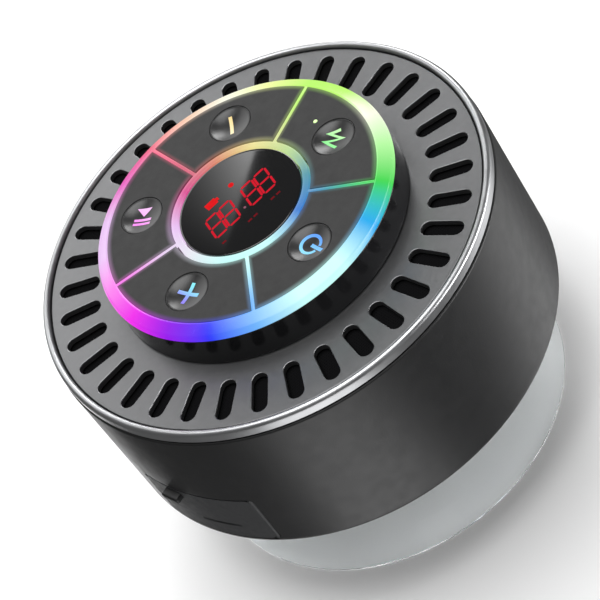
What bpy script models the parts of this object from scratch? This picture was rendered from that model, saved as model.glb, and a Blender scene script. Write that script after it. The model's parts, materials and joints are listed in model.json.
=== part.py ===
"""Shower speaker: a drum-shaped waterproof loudspeaker with a raised control pod on its front and a clear suction
cup on its back. Lengths are in metres. The origin is the centre of the suction cup's rim, +Z points out of the
front face, and the power key lies towards -Y."""

import math

import bmesh
import bpy
from mathutils import Matrix, Vector

MM = 0.001

# Driving dimensions. Radii are measured from the speaker's axis and heights from the plane of the cup's rim.
GAP = 0.3 * MM
TOTAL_H = 63.5 * MM
FACE_Z = 55.0 * MM
BACK_Z = 21.6 * MM
BODY_R = 43.5 * MM
WALL_IN_R = 40.6 * MM
RIM_IN_R = 41.7 * MM
RIM_TOP_Z = 53.2 * MM
SHOULDER_Z = 46.6 * MM
FLOOR_Z = 24.0 * MM

BEZEL_IN_R = 41.9 * MM
BEZEL_OUT_R = 43.3 * MM
BEZEL_TOP_Z = 55.7 * MM

GRILLE_OUT_R = 41.6 * MM
GRILLE_IN_R = 18.0 * MM
GRILLE_T = 1.2 * MM
SLOTS = 36
SLOT_IN_R = 31.9 * MM
SLOT_OUT_R = 40.0 * MM
SLOT_W = 3.0 * MM
SLOT_PHASE = 7.75
CLOTH_T = 0.4 * MM
CLOTH_IN_R = 28.6 * MM
CLOTH_OUT_R = 41.2 * MM

CHASSIS_BOTTOM_Z = 48.0 * MM
CHASSIS_T = 2.0 * MM
CHASSIS_OUT_R = 41.4 * MM
CHASSIS_HOLE_R = 21.5 * MM
CHASSIS_LEDGE_W = 1.2 * MM
CHASSIS_LEDGE_TOP_Z = 52.8 * MM
COLUMN_R = 2.2 * MM
SEAL_T = 0.8 * MM

POD_BASE_R = 28.2 * MM
POD_TOP_R = 28.4 * MM
POD_WALL = 1.6 * MM
POD_FLOOR_T = 1.3 * MM
POD_BOTTOM_Z = FACE_Z + GAP
POD_RIM_Z = 61.4 * MM
POD_LEDGE_IN_R = 25.6 * MM
POD_LEDGE_T = 0.8 * MM

BAND_TOP_R = 26.1 * MM
BAND_EDGE_Z = 62.2 * MM
PANEL_OUT_R = 25.8 * MM
PANEL_IN_R = 13.5 * MM
SPOKE_W = 0.6 * MM
SPOKE_D = 0.6 * MM
SPOKE_SINK = 0.15 * MM
SPOKE_ANGLES = (18.0, 90.0, 162.0, 234.0, 306.0)
INNER_RING_OUT_R = 13.2 * MM
INNER_RING_IN_R = 12.0 * MM
INNER_LEDGE_R = 11.0 * MM
INNER_RING_BOTTOM_Z = 60.9 * MM
WINDOW_R = 11.7 * MM
WINDOW_T = 1.1 * MM

KEY_NAMES = {"power": 270.0, "mode": 342.0, "minus": 54.0, "play": 126.0, "plus": 198.0}
KEY_CIRCLE_R = 19.6 * MM
KEY_R = 3.9 * MM
KEY_DISH = 0.6 * MM
KEY_FLANGE_R = 4.7 * MM
KEY_TOP_Z = 63.4 * MM
KEY_BOTTOM_Z = 60.75 * MM
STATUS_ANGLE = 0.0
STATUS_R = 0.4 * MM

BOARD_R = 22.2 * MM
BOARD_Z = 56.9 * MM
BOARD_T = 1.1 * MM
PART_Z = BOARD_Z + BOARD_T + GAP
SWITCH_SIDE = 4.5 * MM
SWITCH_H = 1.6 * MM
DISPLAY_X = 18.0 * MM
DISPLAY_Y = 10.0 * MM
DISPLAY_H = 3.2 * MM
LED_COUNT = 10

POD_SCREW_CIRCLE_R = 24.0 * MM
POD_SCREW_ANGLES = (45.0, 135.0, 225.0, 315.0)
DRIVER_SCREW_CIRCLE_R = 23.5 * MM
DRIVER_SCREW_ANGLES = (0.0, 90.0, 180.0, 270.0)
CHASSIS_SCREW_CIRCLE_R = 37.8 * MM
CHASSIS_SCREW_ANGLES = (55.0, 125.0, 235.0, 305.0)
SCREW_SHANK_R = 0.9 * MM
SCREW_HOLE_R = 1.25 * MM
CHASSIS_SCREW_SHANK_R = 1.1 * MM
CHASSIS_SCREW_HOLE_R = 1.4 * MM
CHASSIS_SCREW_TIP_Z = 43.0 * MM
DRIVER_SCREW_TIP_Z = 49.4 * MM
POD_SCREW_TIP_Z = 49.2 * MM

FLANGE_TOP_Z = CHASSIS_BOTTOM_Z - GAP
FLANGE_T = 1.2 * MM
FLANGE_R = 25.3 * MM
CONE_R = 17.0 * MM
COIL_R = 7.1 * MM
COIL_T = 0.5 * MM
COIL_TOP_Z = 41.4 * MM
COIL_BOTTOM_Z = 34.0 * MM
BASKET_FLOOR_Z = 37.5 * MM
BASKET_HOLE_R = 8.4 * MM
SPIDER_Z = 40.7 * MM
TOP_PLATE_Z = 35.4 * MM
TOP_PLATE_T = 1.8 * MM
MAGNET_Z = 31.0 * MM
MAGNET_R = 15.0 * MM
YOKE_Z = 28.9 * MM
YOKE_T = 1.8 * MM
YOKE_R = 14.0 * MM
POLE_R = 6.2 * MM

PORT_ANGLE = 196.5
PORT_HALF_SPAN = 16.0
PORT_BOTTOM_Z = 23.4 * MM
PORT_TOP_Z = 35.4 * MM
PORT_FLOOR_R = 42.1 * MM
COVER_IN_R = 42.3 * MM
COVER_HINGE_R = 42.9 * MM
PLUG_Z = 30.3 * MM
TAB_ANGLE = 190.0
TAB_OUT = 1.5 * MM
TAB_Z = 33.8 * MM

MAIN_BOARD_Z = 27.2 * MM
MAIN_BOARD_T = 1.2 * MM
MAIN_BOARD_PART_Z = MAIN_BOARD_Z + MAIN_BOARD_T + GAP
SOCKET_FRONT_R = 37.4 * MM
BATTERY_X = 26.1 * MM
LEAD_HOLE_R = 1.5 * MM

CUP_R = 36.2 * MM
CUP_RIM_IN_R = 34.2 * MM
CUP_DOME_Z = 7.3 * MM
CUP_HUB_R = 9.0 * MM
CUP_HUB_TOP_Z = 20.2 * MM
STUD_R = 3.0 * MM
STUD_TOP_Z = 26.8 * MM
STUD_BOTTOM_Z = 12.4 * MM
STUD_FLANGE_R = 6.6 * MM
INSERT_R = 4.6 * MM
INSERT_TOP_Z = 27.3 * MM

BODY_STEPS = 48
MID_STEPS = 36
HIDDEN_STEPS = 32
DRIVER_STEPS = 24
SMALL_STEPS = 16
SCREW_STEPS = 8
SMOOTH_ANGLE = math.radians(35.0)

CHARCOAL = (0.055, 0.057, 0.060)
BLACK = (0.012, 0.012, 0.013)
SILVER = (0.50, 0.51, 0.52)
STEEL = (0.62, 0.62, 0.63)
BRASS = (0.72, 0.53, 0.25)
MILKY = (0.85, 0.88, 0.92)
PANEL_GREY = (0.060, 0.060, 0.062)
BOARD_GREEN = (0.02, 0.13, 0.06)
COPPER = (0.60, 0.28, 0.14)
CLEAR = (0.86, 0.89, 0.91)
PAPER = (0.035, 0.035, 0.037)
FERRITE = (0.05, 0.05, 0.055)
PHENOLIC = (0.45, 0.30, 0.12)
CELL_BLUE = (0.10, 0.16, 0.32)
LEAD_GREY = (0.5, 0.5, 0.5)
LEAD_RED = (0.5, 0.04, 0.03)

for old in list(bpy.data.objects):
    bpy.data.objects.remove(old, do_unlink=True)

PARTS = bpy.data.collections.new("shower_speaker")
CUTTERS = bpy.data.collections.new("cutters")
bpy.context.scene.collection.children.link(PARTS)
bpy.context.scene.collection.children.link(CUTTERS)


def finish(name, colour, roughness, metallic=0.0, alpha=1.0):
    """A plain Principled material for one piece."""
    material = bpy.data.materials.new(name)
    material.use_nodes = True
    shader = material.node_tree.nodes["Principled BSDF"]
    shader.inputs["Base Color"].default_value = (*colour, 1.0)
    shader.inputs["Roughness"].default_value = roughness
    shader.inputs["Metallic"].default_value = metallic
    shader.inputs["Alpha"].default_value = alpha
    return material


def polar(radius, degrees, z=0.0):
    """The point at this radius and angle about the speaker's axis."""
    turn = math.radians(degrees)
    return Vector((radius * math.cos(turn), radius * math.sin(turn), z))


def add_object(name, bm, collection, place=Matrix(), smooth=True):
    """An object that holds this bmesh, put in its collection with its own location and rotation."""
    mesh = bpy.data.meshes.new(name)
    bm.to_mesh(mesh)
    bm.free()
    if smooth:
        mesh.shade_smooth()
        mesh.set_sharp_from_angle(angle=SMOOTH_ANGLE)
    obj = bpy.data.objects.new(name, mesh)
    obj.matrix_world = place
    collection.objects.link(obj)
    return obj


def hide(obj):
    """Marks a helper that only cuts or joins."""
    obj.hide_render = True
    obj.display_type = "WIRE"
    return obj


def turned(name, profile, steps, place=Matrix(), collection=PARTS):
    """A turned solid: the profile's (radius, height) points run down its outer side. A profile that starts and
    ends on the axis is a full body, and any other is closed into a ring."""
    bm = bmesh.new()
    corners = [bm.verts.new((radius, 0.0, height)) for radius, height in profile]
    for first, second in zip(corners, corners[1:]):
        bm.edges.new((first, second))
    if profile[0][0] > 0.0:
        bm.edges.new((corners[-1], corners[0]))
    obj = add_object(name, bm, collection, place, smooth=False)
    screw = obj.modifiers.new("turn", "SCREW")
    screw.angle = 2.0 * math.pi
    screw.steps = steps
    screw.render_steps = steps
    screw.use_merge_vertices = True
    screw.merge_threshold = 0.00001
    screw.use_smooth_shade = True
    return obj


def box(name, size, place, collection=PARTS, bevel=0.0):
    """A block of this size about the centre of its place, with its edges rounded off if a bevel is given."""
    bm = bmesh.new()
    bmesh.ops.create_cube(bm, size=1.0, matrix=Matrix.Diagonal((*size, 1.0)))
    obj = add_object(name, bm, collection, place, smooth=False)
    if bevel:
        rounding = obj.modifiers.new("edges", "BEVEL")
        rounding.width = bevel
        rounding.segments = 2
    return obj


def cylinder(name, radius, bottom, top, centre, steps=12, collection=CUTTERS):
    """An upright cylinder between two heights, about a point of the plan."""
    bm = bmesh.new()
    bmesh.ops.create_cone(bm, cap_ends=True, segments=steps, radius1=radius, radius2=radius, depth=top - bottom)
    place = Matrix.Translation((centre.x, centre.y, (bottom + top) / 2.0))
    return add_object(name, bm, collection, place)


def boolean(target, helper, operation):
    """Cuts the helper from the target, or joins it on, and hides the helper."""
    modifier = target.modifiers.new(helper.name, "BOOLEAN")
    modifier.operation = operation
    modifier.object = hide(helper)
    modifier.solver = "EXACT"


def cut(target, helper):
    boolean(target, helper, "DIFFERENCE")


def join(target, helper):
    boolean(target, helper, "UNION")


def drill(target, label, radius, bottom, top, circle_r, angles, steps=8):
    """Round holes on a circle about the axis, cut in one go."""
    bm = bmesh.new()
    for angle in angles:
        place = Matrix.Translation(polar(circle_r, angle, (bottom + top) / 2.0))
        bmesh.ops.create_cone(bm, cap_ends=True, segments=steps, radius1=radius, radius2=radius,
                              depth=top - bottom, matrix=place)
    cut(target, add_object(label, bm, CUTTERS))


def at(degrees, radius, z):
    """A place on the speaker at this angle, whose X axis points outwards."""
    return Matrix.Rotation(math.radians(degrees), 4, "Z") @ Matrix.Translation((radius, 0.0, z))


def sector(name, inner_r, outer_r, bottom, top, start, end, steps, collection):
    """A curved block between two radii, two heights and two angles."""
    bm = bmesh.new()
    corners = [(outer_r, top), (outer_r, bottom), (inner_r, bottom), (inner_r, top)]
    verts = [bm.verts.new((radius, 0.0, height)) for radius, height in corners]
    face = bm.faces.new(verts)
    turn = Matrix.Rotation(math.radians(start), 4, "Z")
    bmesh.ops.transform(bm, matrix=turn, verts=bm.verts)
    bmesh.ops.spin(bm, geom=[face], cent=(0.0, 0.0, 0.0), axis=(0.0, 0.0, 1.0),
                   angle=math.radians(end - start), steps=steps)
    bmesh.ops.recalc_face_normals(bm, faces=bm.faces)
    return add_object(name, bm, collection, smooth=False)


def paint(obj, name, colour, roughness, metallic=0.0, alpha=1.0):
    obj.data.materials.append(finish(name, colour, roughness, metallic, alpha))
    return obj


def rear_housing():
    """The drum-shaped shell: wall, floor, central blind boss for the insert, screw bosses and the port pocket."""
    boss_r = 6.4 * MM
    boss_top = INSERT_TOP_Z + 1.0 * MM
    boss_bottom = INSERT_TOP_Z + GAP
    corner = 1.0 * MM
    edge = 1.2 * MM
    profile = [(0.0, boss_top), (boss_r, boss_top), (boss_r, FLOOR_Z), (WALL_IN_R - corner, FLOOR_Z),
               (WALL_IN_R, FLOOR_Z + corner), (WALL_IN_R, SHOULDER_Z), (RIM_IN_R, SHOULDER_Z),
               (RIM_IN_R, RIM_TOP_Z), (BODY_R, RIM_TOP_Z), (BODY_R, BACK_Z + edge),
               (BODY_R - edge / 3.0, BACK_Z + edge / 3.0), (BODY_R - edge, BACK_Z),
               (INSERT_R + GAP, BACK_Z), (INSERT_R + GAP, boss_bottom), (0.0, boss_bottom)]
    shell = turned("rear_housing", profile, BODY_STEPS)
    screw_boss_r = 3.0 * MM
    hole_bottom = CHASSIS_SCREW_TIP_Z - 2.0 * GAP
    for number, angle in enumerate(CHASSIS_SCREW_ANGLES, 1):
        centre = polar(CHASSIS_SCREW_CIRCLE_R, angle)
        join(shell, cylinder(f"boss_{number}", screw_boss_r, FLOOR_Z - 0.5 * MM, SHOULDER_Z, centre))
    drill(shell, "boss_holes", CHASSIS_SCREW_HOLE_R, hole_bottom, SHOULDER_Z + 1.0 * MM,
          CHASSIS_SCREW_CIRCLE_R, CHASSIS_SCREW_ANGLES, SCREW_STEPS)
    clearance = math.degrees(GAP / BODY_R)
    knuckle = 0.6 * MM
    end = PORT_ANGLE + PORT_HALF_SPAN + math.degrees(knuckle / BODY_R) + clearance
    cut(shell, sector("port_pocket", PORT_FLOOR_R, BODY_R + 1.0 * MM, PORT_BOTTOM_Z - GAP, PORT_TOP_Z + GAP,
                      PORT_ANGLE - PORT_HALF_SPAN - clearance, end, 8, CUTTERS))
    hole_w = 10.0 * MM
    hole_h = 4.4 * MM
    cut(shell, box("port_hole", (6.0 * MM, hole_w, hole_h), at(PORT_ANGLE, PORT_FLOOR_R, PLUG_Z), CUTTERS))
    return paint(shell, "charcoal shell", CHARCOAL, 0.35)


def rim_bezel():
    """The polished bead round the front edge."""
    width = BEZEL_OUT_R - BEZEL_IN_R
    bottom = RIM_TOP_Z + GAP
    profile = [(BEZEL_IN_R, BEZEL_TOP_Z - 0.7 * MM), (BEZEL_IN_R + 0.3 * width, BEZEL_TOP_Z - 0.1 * MM),
               (BEZEL_IN_R + 0.6 * width, BEZEL_TOP_Z), (BEZEL_OUT_R, BEZEL_TOP_Z - 0.6 * MM),
               (BEZEL_OUT_R, bottom), (BEZEL_IN_R, bottom)]
    return paint(turned("rim_bezel", profile, BODY_STEPS), "polished rim", STEEL, 0.15, 1.0)


def front_grille():
    """The slotted ring that lets the sound out, clamped under the pod."""
    bottom = FACE_Z - GRILLE_T
    profile = [(GRILLE_IN_R, FACE_Z), (GRILLE_OUT_R, FACE_Z), (GRILLE_OUT_R, bottom), (GRILLE_IN_R, bottom)]
    ring = turned("front_grille", profile, BODY_STEPS)
    bm = bmesh.new()
    half = SLOT_W / 2.0
    inner = SLOT_IN_R + half
    outer = SLOT_OUT_R - half
    arc = [math.radians(-90.0 + 45.0 * step) for step in range(5)]
    outline = [(outer + half * math.cos(a), half * math.sin(a)) for a in arc]
    outline += [(inner - half * math.cos(a), -half * math.sin(a)) for a in arc]
    for number in range(SLOTS):
        turn = Matrix.Rotation(math.radians(SLOT_PHASE + 360.0 * number / SLOTS), 4, "Z")
        rim = [bm.verts.new(turn @ Vector((x, y, bottom - GAP))) for x, y in outline]
        face = bm.faces.new(rim)
        grown = bmesh.ops.extrude_face_region(bm, geom=[face])["geom"]
        top = [item for item in grown if isinstance(item, bmesh.types.BMVert)]
        bmesh.ops.translate(bm, verts=top, vec=(0.0, 0.0, GRILLE_T + 2.0 * GAP))
    bmesh.ops.recalc_face_normals(bm, faces=bm.faces)
    cut(ring, add_object("slots", bm, CUTTERS, smooth=False))
    drill(ring, "grille_hole", SCREW_HOLE_R, bottom - GAP, FACE_Z + GAP, POD_SCREW_CIRCLE_R, POD_SCREW_ANGLES)
    cut(ring, cylinder("grille_cable_hole", LEAD_HOLE_R, bottom - GAP, FACE_Z + GAP,
                       polar(POD_SCREW_CIRCLE_R, PORT_ANGLE)))
    return paint(ring, "satin grille", SILVER, 0.32, 0.9)


def grille_cloth():
    """The black cloth ring glued behind the slots."""
    top = FACE_Z - GRILLE_T - GAP
    profile = [(CLOTH_IN_R, top), (CLOTH_OUT_R, top), (CLOTH_OUT_R, top - CLOTH_T), (CLOTH_IN_R, top - CLOTH_T)]
    return paint(turned("grille_cloth", profile, HIDDEN_STEPS), "black cloth", BLACK, 0.9)


def front_chassis():
    """The plate that carries the driver underneath and the pod on four columns on top."""
    top = CHASSIS_BOTTOM_Z + CHASSIS_T
    ledge_in = CHASSIS_OUT_R - CHASSIS_LEDGE_W
    profile = [(CHASSIS_HOLE_R, top), (ledge_in, top), (ledge_in, CHASSIS_LEDGE_TOP_Z),
               (CHASSIS_OUT_R, CHASSIS_LEDGE_TOP_Z), (CHASSIS_OUT_R, CHASSIS_BOTTOM_Z),
               (CHASSIS_HOLE_R, CHASSIS_BOTTOM_Z)]
    plate = turned("front_chassis", profile, HIDDEN_STEPS)
    column_top = FACE_Z - GRILLE_T - GAP
    for number, angle in enumerate(POD_SCREW_ANGLES, 1):
        centre = polar(POD_SCREW_CIRCLE_R, angle)
        join(plate, cylinder(f"column_{number}", COLUMN_R, CHASSIS_BOTTOM_Z + 0.4 * MM, column_top, centre))
    drill(plate, "column_hole", SCREW_HOLE_R, CHASSIS_BOTTOM_Z + 0.8 * MM, column_top + GAP,
          POD_SCREW_CIRCLE_R, POD_SCREW_ANGLES)
    drill(plate, "driver_hole", SCREW_HOLE_R, CHASSIS_BOTTOM_Z - GAP, top - GAP,
          DRIVER_SCREW_CIRCLE_R, DRIVER_SCREW_ANGLES)
    drill(plate, "chassis_hole", CHASSIS_SCREW_HOLE_R, CHASSIS_BOTTOM_Z - GAP, top + GAP,
          CHASSIS_SCREW_CIRCLE_R, CHASSIS_SCREW_ANGLES)
    slot = (5.0 * MM, 2.8 * MM, CHASSIS_T + 1.0 * MM)
    slot_r = 28.4 * MM
    cut(plate, box("cable_slot", slot, at(PORT_ANGLE, slot_r, CHASSIS_BOTTOM_Z + CHASSIS_T / 2.0), CUTTERS))
    return paint(plate, "black chassis", BLACK, 0.5)


def housing_seal():
    """The flat ring that keeps water out between chassis and housing."""
    top = CHASSIS_BOTTOM_Z - GAP
    inner = WALL_IN_R + GAP / 2.0
    outer = RIM_IN_R - GAP
    profile = [(inner, top), (outer, top), (outer, top - SEAL_T), (inner, top - SEAL_T)]
    return paint(turned("housing_seal", profile, HIDDEN_STEPS), "seal rubber", BLACK, 0.8)


def pod_shell():
    """The cup that holds the keys, lights and display above the face."""
    floor_top = POD_BOTTOM_Z + POD_FLOOR_T
    inner = POD_BASE_R - POD_WALL
    ledge = POD_RIM_Z - POD_LEDGE_T
    profile = [(0.0, floor_top), (inner, floor_top), (inner, ledge - 0.9 * MM), (POD_LEDGE_IN_R, ledge),
               (POD_LEDGE_IN_R, POD_RIM_Z), (POD_TOP_R, POD_RIM_Z), (POD_BASE_R, POD_BOTTOM_Z),
               (0.0, POD_BOTTOM_Z)]
    shell = turned("pod_shell", profile, BODY_STEPS)
    drill(shell, "pod_hole", SCREW_HOLE_R, POD_BOTTOM_Z - GAP, floor_top + GAP,
          POD_SCREW_CIRCLE_R, POD_SCREW_ANGLES)
    cut(shell, cylinder("pod_cable_hole", LEAD_HOLE_R, POD_BOTTOM_Z - GAP, floor_top + GAP,
                        polar(POD_SCREW_CIRCLE_R, PORT_ANGLE)))
    return paint(shell, "gloss pod", BLACK, 0.12)


def light_guide():
    """The milky guide: a sloping outer band and an inner ring, linked by five thin spokes."""
    band = [(BAND_TOP_R, TOTAL_H), (POD_TOP_R, BAND_EDGE_Z), (POD_TOP_R, POD_RIM_Z + GAP),
            (BAND_TOP_R, POD_RIM_Z + GAP)]
    guide = turned("light_guide", band, BODY_STEPS)
    ring = [(INNER_RING_IN_R, TOTAL_H), (INNER_RING_OUT_R, TOTAL_H), (INNER_RING_OUT_R, INNER_RING_BOTTOM_Z),
            (INNER_LEDGE_R, INNER_RING_BOTTOM_Z), (INNER_LEDGE_R, TOTAL_H - WINDOW_T - 2.0 * GAP),
            (INNER_RING_IN_R, TOTAL_H - WINDOW_T - 2.0 * GAP)]
    join(guide, turned("guide_ring", ring, MID_STEPS, collection=CUTTERS))
    bite = 0.2 * MM
    length = BAND_TOP_R - INNER_RING_OUT_R + 2.0 * bite
    middle = (BAND_TOP_R + INNER_RING_OUT_R) / 2.0
    spoke_z = TOTAL_H - SPOKE_SINK - SPOKE_D / 2.0
    for number, angle in enumerate(SPOKE_ANGLES, 1):
        join(guide, box(f"spoke_{number}", (length, SPOKE_W, SPOKE_D), at(angle, middle, spoke_z), CUTTERS))
    return paint(guide, "milky guide", MILKY, 0.3)


def control_panel():
    """The matt plate round the display, grooved for the guide's spokes and holed for the keys."""
    bottom = POD_RIM_Z + GAP
    profile = [(PANEL_IN_R, TOTAL_H), (PANEL_OUT_R, TOTAL_H), (PANEL_OUT_R, bottom), (PANEL_IN_R, bottom)]
    panel = turned("control_panel", profile, BODY_STEPS)
    depth = SPOKE_SINK + SPOKE_D + GAP
    length = 16.0 * MM
    middle = 20.0 * MM
    bm = bmesh.new()
    for angle in SPOKE_ANGLES:
        groove = at(angle, middle, TOTAL_H) @ Matrix.Diagonal((length, SPOKE_W + 2.0 * GAP, 2.0 * depth, 1.0))
        bmesh.ops.create_cube(bm, size=1.0, matrix=groove)
    cut(panel, add_object("grooves", bm, CUTTERS, smooth=False))
    key_hole_r = KEY_R + 0.25 * MM
    drill(panel, "key_holes", key_hole_r, bottom - GAP, TOTAL_H + GAP, KEY_CIRCLE_R, KEY_NAMES.values(),
          SMALL_STEPS)
    status_hole_r = STATUS_R + 0.2 * MM
    drill(panel, "status_hole", status_hole_r, bottom - GAP, TOTAL_H + GAP, KEY_CIRCLE_R, [STATUS_ANGLE])
    return paint(panel, "matt panel", PANEL_GREY, 0.6)


def key(name, angle):
    """A dished round key with a flange that holds it under the panel and a stem above its switch."""
    top = KEY_TOP_Z - KEY_BOTTOM_Z
    stem_r = 1.6 * MM
    flange_bottom = 0.15 * MM
    flange_top = POD_RIM_Z - KEY_BOTTOM_Z
    profile = [(0.0, top - KEY_DISH), (0.5 * KEY_R, top - 0.72 * KEY_DISH), (0.88 * KEY_R, top),
               (KEY_R, top - 0.2 * MM), (KEY_R, flange_top), (KEY_FLANGE_R, flange_top),
               (KEY_FLANGE_R, flange_bottom), (stem_r, flange_bottom), (stem_r, 0.0), (0.0, 0.0)]
    cap = turned(f"{name}_key", profile, SMALL_STEPS, Matrix.Translation(polar(KEY_CIRCLE_R, angle, KEY_BOTTOM_Z)))
    return paint(cap, f"{name} key", CHARCOAL, 0.3)


def key_switch(name, angle):
    """The small sealed push switch under a key, which also returns it."""
    body = box(f"{name}_switch", (SWITCH_SIDE, SWITCH_SIDE, SWITCH_H),
               at(angle, KEY_CIRCLE_R, PART_Z + SWITCH_H / 2.0))
    plunger_r = 1.1 * MM
    plunger_top = KEY_BOTTOM_Z - 0.45 * MM
    join(body, cylinder(f"{name}_plunger", plunger_r, PART_Z + SWITCH_H / 2.0, plunger_top,
                        polar(KEY_CIRCLE_R, angle), 8))
    return paint(body, f"{name} switch", STEEL, 0.4, 0.8)


def status_light_pipe():
    """The pin that carries the status light up to the panel."""
    pin = cylinder("status_light_pipe", STATUS_R, PART_Z, TOTAL_H, polar(KEY_CIRCLE_R, STATUS_ANGLE), 8, PARTS)
    return paint(pin, "status pipe", MILKY, 0.3)


def display_window():
    """The dark glossy disc over the display, seated on the guide's inner ledge."""
    top = TOTAL_H - GAP / 3.0
    profile = [(0.0, top), (WINDOW_R, top), (WINDOW_R, top - WINDOW_T), (0.0, top - WINDOW_T)]
    return paint(turned("display_window", profile, MID_STEPS), "smoked window", BLACK, 0.05)


def display_module():
    """The numeric display block on the control board, turned to read upright from the mode key's side."""
    turn = -6.0
    block = box("display_module", (DISPLAY_X, DISPLAY_Y, DISPLAY_H), at(turn, 0.0, PART_Z + DISPLAY_H / 2.0))
    return paint(block, "display block", BLACK, 0.4)


def control_board():
    """The round circuit board on the pod's floor."""
    profile = [(0.0, BOARD_Z + BOARD_T), (BOARD_R, BOARD_Z + BOARD_T), (BOARD_R, BOARD_Z), (0.0, BOARD_Z)]
    return paint(turned("control_board", profile, DRIVER_STEPS), "control board", BOARD_GREEN, 0.5)


def led_ring():
    """The ring of coloured lamps that feeds the light guide."""
    height = 0.6 * MM
    inner = 12.2 * MM
    outer = 14.6 * MM
    lamp = (1.6 * MM, 1.6 * MM, 0.9 * MM)
    profile = [(inner, PART_Z + height), (outer, PART_Z + height), (outer, PART_Z), (inner, PART_Z)]
    ring = turned("led_ring", profile, DRIVER_STEPS)
    for number in range(LED_COUNT):
        angle = 360.0 * number / LED_COUNT
        join(ring, box(f"lamp_{number}", lamp, at(angle, (inner + outer) / 2.0, PART_Z + height), CUTTERS))
    return paint(ring, "lamp ring", MILKY, 0.5)


def screw(name, circle_r, angle, seat_z, tip_z, head_r=1.5 * MM, head_h=1.0 * MM, shank_r=SCREW_SHANK_R):
    """A pan-head screw from its seat to its tip, which may lie above the seat."""
    length = abs(seat_z - tip_z)
    point = 0.5 * MM
    profile = [(0.0, head_h), (0.7 * head_r, head_h), (head_r, 0.5 * head_h), (head_r, 0.0),
               (shank_r, 0.0), (shank_r, -length + point), (0.0, -length)]
    place = Matrix.Translation(polar(circle_r, angle, seat_z))
    if tip_z > seat_z:
        place = place @ Matrix.Rotation(math.pi, 4, "X")
    return paint(turned(name, profile, SCREW_STEPS, place), name, STEEL, 0.3, 1.0)


def driver_basket():
    """The pressed frame of the driver: flange, sloping wall with four windows, spider ledge and floor."""
    flange_bottom = FLANGE_TOP_Z - FLANGE_T
    mouth_r = 20.0 * MM
    wall_top_r = 21.2 * MM
    wall_foot_r = 16.6 * MM
    wall_foot_z = 39.4 * MM
    floor_r = 15.6 * MM
    floor_t = 1.0 * MM
    well_r = 13.6 * MM
    ledge_z = 40.0 * MM
    profile = [(mouth_r, FLANGE_TOP_Z), (FLANGE_R, FLANGE_TOP_Z), (FLANGE_R, flange_bottom),
               (wall_top_r, flange_bottom), (wall_foot_r, wall_foot_z), (floor_r, BASKET_FLOOR_Z),
               (BASKET_HOLE_R, BASKET_FLOOR_Z), (BASKET_HOLE_R, BASKET_FLOOR_Z + floor_t),
               (well_r, BASKET_FLOOR_Z + floor_t), (well_r + 0.4 * MM, ledge_z), (floor_r, ledge_z)]
    basket = turned("driver_basket", profile, DRIVER_STEPS)
    window = (9.0 * MM, 10.0 * MM, 3.6 * MM)
    window_r = 18.8 * MM
    window_z = 43.4 * MM
    for number in range(4):
        cut(basket, box(f"basket_window_{number}", window, at(45.0 + 90.0 * number, window_r, window_z), CUTTERS))
    drill(basket, "flange_hole", SCREW_HOLE_R, flange_bottom - GAP, FLANGE_TOP_Z + GAP,
          DRIVER_SCREW_CIRCLE_R, DRIVER_SCREW_ANGLES)
    return paint(basket, "driver basket", STEEL, 0.35, 1.0)


def driver_motor():
    """The top plate, ring magnet and yoke under the basket."""
    plate_in = COIL_R + 0.5 * MM
    plate_top = TOP_PLATE_Z + TOP_PLATE_T
    plate = [(plate_in, plate_top), (YOKE_R, plate_top), (YOKE_R, TOP_PLATE_Z), (plate_in, TOP_PLATE_Z)]
    paint(turned("driver_top_plate", plate, DRIVER_STEPS), "top plate", STEEL, 0.35, 1.0)
    magnet_in = 9.0 * MM
    magnet_top = TOP_PLATE_Z - GAP
    magnet = [(magnet_in, magnet_top), (MAGNET_R, magnet_top), (MAGNET_R, MAGNET_Z), (magnet_in, MAGNET_Z)]
    paint(turned("driver_magnet", magnet, DRIVER_STEPS), "ferrite", FERRITE, 0.6)
    pole_top = plate_top - 0.2 * MM
    yoke_top = YOKE_Z + YOKE_T
    yoke = [(0.0, pole_top), (POLE_R, pole_top), (POLE_R, yoke_top), (YOKE_R, yoke_top), (YOKE_R, YOKE_Z),
            (0.0, YOKE_Z)]
    paint(turned("driver_yoke", yoke, DRIVER_STEPS), "yoke", STEEL, 0.35, 1.0)


def voice_coil():
    """The copper coil on its former, which drives the cone."""
    inner = COIL_R - COIL_T
    tube = [(inner, COIL_TOP_Z), (COIL_R, COIL_TOP_Z), (COIL_R, COIL_BOTTOM_Z), (inner, COIL_BOTTOM_Z)]
    return paint(turned("voice_coil", tube, DRIVER_STEPS), "coil copper", COPPER, 0.35, 0.9)


def cone():
    """The paper cone."""
    mouth_z = 48.3 * MM
    neck_z = 41.2 * MM
    neck_r = COIL_R + GAP
    profile = [(CONE_R - GAP, mouth_z + GAP), (CONE_R, mouth_z), (neck_r + 0.5 * MM, neck_z),
               (neck_r, neck_z + 0.4 * MM)]
    return paint(turned("cone", profile, DRIVER_STEPS), "cone paper", PAPER, 0.8)


def dust_cap():
    """The domed cap over the coil, glued into the cone."""
    outside = [(0.0, 45.2), (3.6, 44.8), (6.4, 43.4), (8.1, 42.5)]
    inside = [(6.2, 42.6), (3.4, 44.2), (0.0, 44.7)]
    profile = [(radius * MM, height * MM) for radius, height in outside + inside]
    return paint(turned("dust_cap", profile, DRIVER_STEPS), "cap paper", PAPER, 0.6)


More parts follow.
